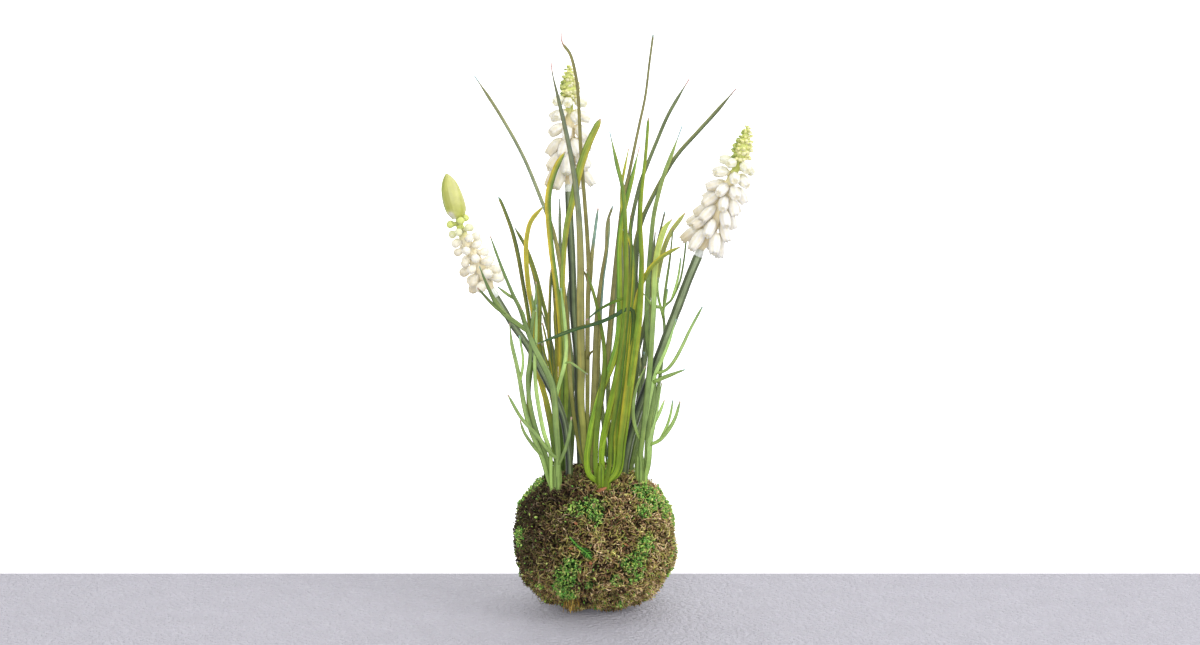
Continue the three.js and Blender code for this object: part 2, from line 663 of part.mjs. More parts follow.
// Points along every blade, and along the flowers, which stay where they are.
const markStep = 3;
const topReach = 5.2; // half the width of a flower's green top
const marks = [];
for (const sprig of sprigs) {
  for (const route of sprig.routes) {
    const count = Math.ceil(route.total / markStep);
    for (let k = 0; k <= count; k += 1) {
      const t = k / count;
      const at = route.curve.getPointAt(t);
      const radius = bladeWidth(route.item, t) / 2;
      marks.push({ x: at.x, z: at.z, depth: at.y, radius, route, t, sprig });
    }
  }
}
for (const flower of flowers) {
  const parts = [
    [flower.stemCurve, stemRadius], [flower.headCurve, flower.florets.headReach],
    [flower.topCurve, topReach],
  ];
  for (const [curve, radius] of parts) {
    const count = Math.ceil(curve.getLength() / markStep);
    for (let k = 0; k <= count; k += 1) {
      const at = asSeen(curve.getPointAt(k / count));
      marks.push({ x: at.x, z: at.z, depth: at.y, radius, route: null });
    }
  }
}

// Pairs that are seen to cross, with the depth that they need between them. Blades of one
// sprig are one body and may touch anywhere.
const crossings = [];
for (let i = 0; i < marks.length; i += 1) {
  for (let j = i + 1; j < marks.length; j += 1) {
    const [a, b] = [marks[i], marks[j]];
    const near = a.radius + b.radius + clearWay;
    const seen = Math.hypot(a.x - b.x, a.z - b.z);
    if (seen >= near) continue;
    if (a.sprig === b.sprig) continue;
    crossings.push({ a, b, need: Math.sqrt(near ** 2 - seen ** 2) });
  }
}

// Blades that pass too close are bent clear of each other, a little at a time. A blade
// keeps its place where it starts, and is free further up.
const rounds = 200;
const spread = 15 / knotStep; // how far up and down a bend spreads
const eased = 0.7; // the share of a push that one round makes
const twigHold = [1, 12]; // held up to the first distance from its start, free from the second
const bladeHold = [5, 28];
for (let round = 0; round < rounds; round += 1) {
  for (const sprig of sprigs) {
    for (const route of sprig.routes) {
      route.back = new Float64Array(route.shift.length);
      route.ahead = new Float64Array(route.shift.length);
    }
  }
  for (const { a, b, need } of crossings) {
    const depthA = a.depth + (a.route ? bentBack(a.route, a.t) : 0);
    const depthB = b.depth + (b.route ? bentBack(b.route, b.t) : 0);
    const apart = Math.abs(depthA - depthB);
    if (apart >= need) continue;
    const push = (need - apart) * (a.route && b.route ? 0.5 : 1);
    const sign = depthA >= depthB ? 1 : -1;
    for (const [mark, way] of [[a, sign], [b, -sign]]) {
      if (!mark.route) continue;
      const middle = (mark.t * mark.route.total) / knotStep;
      const list = way > 0 ? mark.route.back : mark.route.ahead;
      for (let k = 0; k < list.length; k += 1) {
        list[k] = Math.max(list[k], push * Math.exp(-(((k - middle) / spread) ** 2)));
      }
    }
  }
  for (const sprig of sprigs) {
    for (const route of sprig.routes) {
      const hold = route.joint ? twigHold : bladeHold;
      for (let k = 0; k < route.shift.length; k += 1) {
        const free = THREE.MathUtils.smoothstep(k * knotStep, ...hold);
        route.shift[k] += eased * free * (route.back[k] - route.ahead[k]);
      }
    }
  }
}

const ringStep = 20; // between a blade's rings; curved and branched blades have more
const branchStep = 13;
const bendRings = 1.6; // rings added for each radian that a blade curves
const mostTurn = 0.6; // of a blade's flat side from the front, in radians
const mostTwist = 0.5;
const flatness = 0.4; // thickness in widths
const mostThickness = 1.1;

function bladeSolid(route) {
  const { item, curve, total } = route;
  const place = (t) => {
    const at = curve.getPointAt(t);
    return seenAt(at.x, at.z, at.y + bentBack(route, t));
  };
  const tangents = Array.from({ length: 13 }, (_, k) => curve.getTangentAt(k / 12));
  const bends = tangents.slice(1).reduce((sum, next, k) => sum + tangents[k].angleTo(next), 0);
  const branched = route.stalk.length > 1;
  const rings = Math.max(2, Math.round(total / (branched ? branchStep : ringStep) + bends * bendRings));
  const lay = mix(-mostTurn, mostTurn, bladeRandom());
  const twist = mix(-mostTwist, mostTwist, bladeRandom());
  const halves = (t) => {
    const wide = bladeWidth(item, t);
    return [wide / 2, THREE.MathUtils.clamp(flatness * wide, leastThickness, mostThickness) / 2];
  };
  return rod(4, rings, place, halves, (t) => lay + twist * t);
}

function sprigSolid(sprig) {
  const foot = [
    [0, -pegDepth], [pegRadius, -pegDepth], [footRadius - 0.3, -1], [footRadius, rootRise],
    [footRadius - 0.4, footRise - 1.5], [0, footRise],
  ];
  const solids = [turned(foot, 8, sprig.base, new THREE.Vector3(0, 0, 1))];
  for (const route of sprig.routes) solids.push(bladeSolid(route));
  return joined(solids);
}

// ---------------------------------------------------------------- the assembly
const plant = new THREE.Group();
const up = new THREE.Vector3(0, 0, 1);

// The holes that the sprigs and the flower stems stand in.
const footClearance = 0.45;
const stemClearance = 0.8;
const holeSides = 8;
const holes = [];
for (const sprig of sprigs) {
  const bottom = sprig.base.clone().addScaledVector(up, -pegDepth - gap);
  holes.push(cylinder(footRadius + footClearance, pegDepth + ballHalfHeight, holeSides, bottom, up));
}
for (const flower of flowers) {
  const bottom = flower.base.clone().addScaledVector(up, -pegDepth - gap);
  holes.push(cylinder(stemRadius + stemClearance, pegDepth + ballHalfHeight, holeSides, bottom, up));
}
const allHoles = joined(holes);
const innerFaces = [14, 9]; // columns and rows of faces
const outerFaces = [41, 23];
const soilInset = mossThickness + gap;
const cavity = ballSolid(...innerFaces, mossThickness, mossThickness, false);
const moss = ballSolid(...outerFaces, 0, 0, true).subtract(cavity).subtract(allHoles);
const soil = ballSolid(...innerFaces, soilInset, soilInset, false).subtract(allHoles);
plant.add(toMesh("moss_cover", moss, colours.moss, 0.95));
plant.add(toMesh("soil_ball", soil, colours.soil, 0.95));

// Each stem ends in a pin that stands in the head's socket, and each green top has a pin
// that stands in the head's upper socket.
const flowerGroup = new THREE.Group();
for (const flower of flowers) {
  const { side, stemCurve, headCurve, topCurve } = flower;
  const random = seeded(flower.root[0] + 40);
  const along = (curve) => (t) => curve.getPointAt(t);
  const [headStart, headWay] = [headCurve.getPointAt(0), headCurve.getTangentAt(0)];
  const [topStart, topWay] = [topCurve.getPointAt(0), topCurve.getTangentAt(0)];
  const pin = (radius, length, sunk, start, way) => {
    return cylinder(radius, length, 6, start.clone().addScaledVector(way, -sunk), way);
  };
  const stem = rod(7, 12, along(stemCurve), () => [stemRadius, stemRadius], () => 0)
    .add(pin(pinRadius, 7, 3, headStart, headWay));
  const head = headSolid(flower, along(headCurve), random)
    .subtract(pin(pinRadius + gap, 8, 3.7, headStart, headWay))
    .subtract(pin(pinRadius + 0.1, 6, 3.3, topStart, topWay));
  const isBud = flower.florets === knobs;
  const top = (isBud ? smoothBud(along(topCurve)) : beadedTip(along(topCurve), random))
    .add(pin(pinRadius - 0.2, 4, 3, topStart, topWay));
  flowerGroup.add(toMesh(`${side}_flower_stem`, stem, colours.stem, 0.55));
  flowerGroup.add(toMesh(`${side}_floret_head`, head, colours.floret, 0.5));
  flowerGroup.add(toMesh(`${side}_green_${isBud ? "bud" : "tip"}`, top, colours.tip, 0.5));
}
plant.add(flowerGroup);

const grass = new THREE.Group();
for (const sprig of sprigs) grass.add(toMesh(sprig.name, sprigSolid(sprig), sprig.colour, 0.5));
plant.add(grass);

export default plant;
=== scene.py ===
# %% [markdown]
# # A moss ball with white grape hyacinths
#
# The plant comes from CAD as a light frame: each flower and each bunch of grass is one
# plain solid. This lesson dresses that frame. The real one is moulded plastic grass and
# flowers pushed into a ball that is wrapped in dried moss, so the work is in three
# parts: blades with a groove and coloured edges, florets with lobed mouths, and many
# thousands of separate strands and leaflets of moss. All shapes are computed in
# millimetres and turned into metres when a mesh is made.

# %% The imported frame
import math

import bpy
import numpy as np
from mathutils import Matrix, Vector, noise


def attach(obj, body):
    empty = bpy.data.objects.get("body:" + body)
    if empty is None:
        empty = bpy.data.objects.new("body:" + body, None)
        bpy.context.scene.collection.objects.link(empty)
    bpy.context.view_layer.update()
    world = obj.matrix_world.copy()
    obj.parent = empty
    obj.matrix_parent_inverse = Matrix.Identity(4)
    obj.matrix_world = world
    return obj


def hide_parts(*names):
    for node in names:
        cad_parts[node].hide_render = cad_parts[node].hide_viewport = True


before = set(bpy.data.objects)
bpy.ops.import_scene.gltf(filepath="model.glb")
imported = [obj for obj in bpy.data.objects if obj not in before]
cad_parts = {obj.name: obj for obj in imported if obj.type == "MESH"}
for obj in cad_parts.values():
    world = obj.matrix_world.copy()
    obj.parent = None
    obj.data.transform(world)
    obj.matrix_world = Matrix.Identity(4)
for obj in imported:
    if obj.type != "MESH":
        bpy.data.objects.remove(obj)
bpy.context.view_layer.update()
MM = 0.001

# %% [markdown]
# The camera comes first, because everything else is judged through it. It stands where
# the photographer stood: a good metre in front of the plant and a little above it,
# looking slightly down. A long lens keeps the upright lines upright.

# %% The camera
EYE = np.array([2.4, -1284.0, 343.7])
LOOK_AT = np.array([2.4, 0.0, 140.3])
LENS = 81.25
SENSOR_WIDTH = 36.0
TOWARDS_US = np.array([0.0, -1.0, 0.0])


def in_scene(name, data):
    """A new object in the scene, from a mesh, a light or a camera."""
    thing = bpy.data.objects.new(name, data)
    bpy.context.scene.collection.objects.link(thing)
    return thing


camera_data = bpy.data.cameras.new("camera")
camera_data.sensor_width = SENSOR_WIDTH
camera_data.lens = LENS
camera = in_scene("camera", camera_data)
camera.location = Vector(EYE * MM)
sight = LOOK_AT - EYE
camera.rotation_euler = Vector(sight).to_track_quat("-Z", "Y").to_euler()
bpy.context.scene.camera = camera
print("camera looks down by", round(math.degrees(math.atan2(-sight[2], sight[1])), 1), "degrees")

# %% [markdown]
# What grows is a bit uneven, so many sizes are drawn by chance, from a small generator
# with a fixed seed. It gives the same numbers in each run, and the same ones as the CAD
# source, so each blade here lies on its solid.

# %% Chance
WHOLE = 0xFFFFFFFF  # the generator keeps 32 bits of each number
STRIDE = 0x6D2B79F5


def seeded(seed):
    """Random numbers from 0 to 1, the same ones in each run."""
    state = seed

    def draw():
        nonlocal state
        state = int(state + STRIDE) & WHOLE
        t = (state ^ (state >> 15)) * (1 | state) & WHOLE
        t = (t + ((t ^ (t >> 7)) * (61 | t) & WHOLE) & WHOLE) ^ t
        return ((t ^ (t >> 14)) & WHOLE) / (WHOLE + 1)

    return draw


trial = seeded(1)
print("three draws:", [round(trial(), 3) for _ in range(3)])

# %% [markdown]
# Outlines are written as a few (place, value) pairs: this wide at the foot, that wide in
# the middle. Between them the value glides, since straight lines would show as ridges.

# %% Mixing and outlines
def mix(a, b, t):
    return a + (b - a) * t


def smooth_step(x, low, high):
    t = np.clip((np.asarray(x, float) - low) / (high - low), 0, 1)
    return t * t * (3 - 2 * t)


def profile(pairs, t):
    """Reads (place, value) pairs as one smooth rise and fall."""
    t = np.asarray(t, float)
    places = np.array([p for p, _ in pairs], float)
    values = np.array([v for _, v in pairs], float)
    k = np.clip(np.searchsorted(places, t, side="left"), 1, len(places) - 1)
    share = np.clip((t - places[k - 1]) / (places[k] - places[k - 1]), 0, 1)
    return mix(values[k - 1], values[k], share * share * (3 - 2 * share))


def flow(pairs, t):
    """Reads (place, value) pairs as one smooth outline that passes through them."""
    places = np.array([p for p, _ in pairs], float)
    values = np.array([v for _, v in pairs], float)
    slopes = np.gradient(values, places)
    t = np.clip(np.asarray(t, float), places[0], places[-1])
    k = np.clip(np.searchsorted(places, t) - 1, 0, len(places) - 2)
    span = places[k + 1] - places[k]
    w = (t - places[k]) / span
    start, end = values[k], values[k + 1]
    a, b = slopes[k] * span, slopes[k + 1] * span
    return start + a * w + (3 * (end - start) - 2 * a - b) * w**2 + (a + b - 2 * (end - start)) * w**3


def unit(v):
    return v / np.maximum(np.linalg.norm(v, axis=-1, keepdims=True), 1e-9)


print("a smooth step, halfway:", float(smooth_step(0.5, 0.0, 1.0)))

# %% [markdown]
# Stems and blades bend smoothly through their points. The numbers themselves are needed,
# for rings and for joints, so a small class computes them instead of a curve object.

# %% Curves
class Curve:
    """A smooth curve through points, read by the share of the way along it, 0 to 1."""

    fine = np.linspace(0, 1, 201)

    def __init__(self, points):
        p = np.array(points, float)
        self.spans = len(p) - 1
        self.p = np.vstack([2 * p[0] - p[1], p, 2 * p[-1] - p[-2]])
        chords = np.linalg.norm(np.diff(self.raw(self.fine), axis=0), axis=1)
        way = np.concatenate([[0], np.cumsum(chords)])
        self.length = way[-1]
        self.shares = way / way[-1]

    def raw(self, t):
        place = np.atleast_1d(t) * self.spans
        k = np.minimum(place.astype(int), self.spans - 1)
        w = (place - k)[:, None]
        a, b, c, d = (self.p[k + i] for i in range(4))
        start, end = (c - a) / 2, (d - b) / 2
        cubic = 2 * b - 2 * c + start + end
        square = 3 * c - 3 * b - 2 * start - end
        return b + start * w + square * w**2 + cubic * w**3

    def at(self, share):
        return self.raw(np.interp(share, self.shares, self.fine))


print("an arch through three points is", round(Curve([(0, 0), (3, 4), (6, 0)]).length, 2), "long")

# %% [markdown]
# A photo says where a thing is seen, not how far away it is. So things are placed where
# they are seen on the upright plane through the middle of the ball, and then slid along
# their line of sight to their depth.

# %% Seen places and real places
def seen_at(x, z, depth):
    """The real place of what the camera sees at (x, z) on the plane through the ball."""
    depth = depth + 0.0 * x
    reach = (depth - EYE[1]) / -EYE[1]
    return np.stack([mix(EYE[0], x, reach), depth, mix(EYE[2], z, reach)], -1)


def as_seen(point):
    """The reverse: where the camera sees a real place, with its depth kept."""
    reach = (point[..., 1] - EYE[1]) / -EYE[1]
    x = EYE[0] + (point[..., 0] - EYE[0]) / reach
    z = EYE[2] + (point[..., 2] - EYE[2]) / reach
    return np.stack([x, point[..., 1], z], -1)


print("seen at (50, 200), but 40 mm further back:", seen_at(50.0, 200.0, 40.0).round(1).tolist())

# %% [markdown]
# Nearly every piece is a skin of rings: a stem is one round ring after another, a blade
# is flat rings with a groove. One class turns rings into closed skins. Values that differ
# from blade to blade travel with the points and become mesh attributes, which a material
# can read. That is lighter than one material for each blade, and it needs no image.

# %% Rings to skins
def signed_volume(points, faces):
    """The volume inside some faces, below zero where they look inwards."""
    total = 0.0
    for block in faces:
        for k in range(1, block.shape[1] - 1):
            a, b, c = points[block[:, 0]], points[block[:, k]], points[block[:, k + 1]]
            total += (a * np.cross(b, c)).sum() / 6
    return total


class Shape:
    """Collects rings into one mesh, with named values for each vertex."""

    def __init__(self):
        self.points, self.faces, self.values, self.count = [], [], {}, 0

    def add(self, points, faces, **values):
        self.points.append(points)
        self.faces += [(np.asarray(f) + self.count) for f in faces if len(f)]
        for name, value in values.items():
            value = np.broadcast_to(np.asarray(value, float), len(points))
            self.values.setdefault(name, []).append(value)
        self.count += len(points)

    def skin(self, rings, inside_out=False, **values):
        """Rings of points (n, m, 3) as a closed skin; a value is given for each ring point."""
        n, m = rings.shape[:2]
        ends = np.stack([rings[0].mean(0), rings[-1].mean(0)])
        points = np.vstack([rings.reshape(-1, 3), ends])
        i, j = np.meshgrid(np.arange(n - 1), np.arange(m), indexing="ij")
        a, b = i * m + j, i * m + (j + 1) % m
        quads = np.stack([a, b, b + m, a + m], -1).reshape(-1, 4)
        j = np.arange(m)
        low = np.stack([0 * j + n * m, (j + 1) % m, j], -1)
        top = np.stack([0 * j + n * m + 1, j, (j + 1) % m], -1)
        top[:, 1:] += (n - 1) * m
        faces = [quads, low, top]
        if (signed_volume(points, faces) < 0) != inside_out:
            faces = [f[:, ::-1] for f in faces]
        spread = {}
        for name, value in values.items():
            value = np.broadcast_to(np.asarray(value, float), (n, m))
            spread[name] = np.concatenate([value.ravel(), [value[0].mean(), value[-1].mean()]])
        self.add(points, faces, **spread)

    def copies(self, points, faces, frames, origins, **values):
        """One small mesh (v, 3) set at many origins, each with its own three axes."""
        placed = origins[:, None, :] + points @ frames
        k, v = placed.shape[:2]
        spread = {}
        for name, value in values.items():
            value = np.asarray(value, float)
            value = value[:, None] if value.ndim == 1 else value
            spread[name] = np.broadcast_to(value, (k, v)).ravel()
        shift = (np.arange(k) * v)[:, None, None]
        moved = [(f[None] + shift).reshape(-1, f.shape[1]) for f in faces]
        self.add(placed.reshape(-1, 3), moved, **spread)


def circle_of(count):
    """The angles of evenly spaced points on a ring."""
    return np.arange(count) * 2 * math.pi / count


def rod_rings(places, radii, sides):
    """Round rings about a line of places; one radius for each ring or each ring point."""
    along = unit(np.gradient(places, axis=0))
    front = unit(TOWARDS_US - (along @ TOWARDS_US)[:, None] * along)
    across = np.cross(along, front)
    around = circle_of(sides)[:, None]
    out = across[:, None] * np.cos(around) + front[:, None] * np.sin(around)
    radii = np.asarray(radii, float)
    radii = radii[:, None] if radii.ndim == 1 else radii
    return places[:, None] + out * np.broadcast_to(radii, out.shape[:2])[..., None]


print("a ring of", len(circle_of(8)), "points has them", 360 // 8, "degrees apart")

# %% [markdown]
# The arrays go into a Blender mesh in one call for each kind, which is much faster than
# vertex by vertex. Every piece says at once that it rides on the frame's body, and which CAD
# nodes it stands for.

# %% Skins to pieces
def make_piece(name, shape, material, slot, *nodes):
    """A Blender object from a shape, riding on the frame and standing for CAD nodes."""
    points = np.vstack(shape.points) * MM
    mesh = bpy.data.meshes.new(name)
    sizes = np.concatenate([np.full(len(f), f.shape[1]) for f in shape.faces])
    corners = np.concatenate([f.ravel() for f in shape.faces])
    mesh.vertices.add(len(points))
    mesh.vertices.foreach_set("co", points.ravel())
    mesh.loops.add(len(corners))
    mesh.loops.foreach_set("vertex_index", corners)
    mesh.polygons.add(len(sizes))
    mesh.polygons.foreach_set("loop_start", np.concatenate([[0], np.cumsum(sizes)[:-1]]))
    mesh.update(calc_edges=True)
    mesh.validate()
    mesh.polygons.foreach_set("use_smooth", np.ones(len(mesh.polygons), bool))
    for key, parts in shape.values.items():
        mesh.attributes.new(key, "FLOAT", "POINT").data.foreach_set("value", np.concatenate(parts))
    mesh.materials.append(material)
    piece = in_scene(name, mesh)
    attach(piece, "root")
    if nodes:
        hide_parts(*nodes)
    print(name, "has", sum(len(p.vertices) - 2 for p in mesh.polygons), "triangles")
    return piece


print("pieces ride on the body that is called root")

# %% [markdown]
# ## Where the blades grow
#
# Each bunch of grass is a foot in the moss with its stalks, and some stalks carry twigs.
# A blade is written down as it is seen from the front: its width, how much further back
# its tip stands than its start, and the points that it passes. The list is the CAD's own.
# Added here are the kind of tip, how far the blade swells before it, how
# yellow its edges are and from where on, how light it is, and sometimes its chance.

# %% The blades
THIN_TWIG = 1.6


def blade(wide, lean, *seen, tip="point", swell=0.0, edges=None, light=None, hue=0.0, chance=None):
    if tip == "point" and wide < THIN_TWIG:
        tip = "twig"
    return dict(wide=wide, lean=lean, seen=seen, tip=tip, swell=swell, edges=edges,
                light=light, hue=hue, chance=chance)


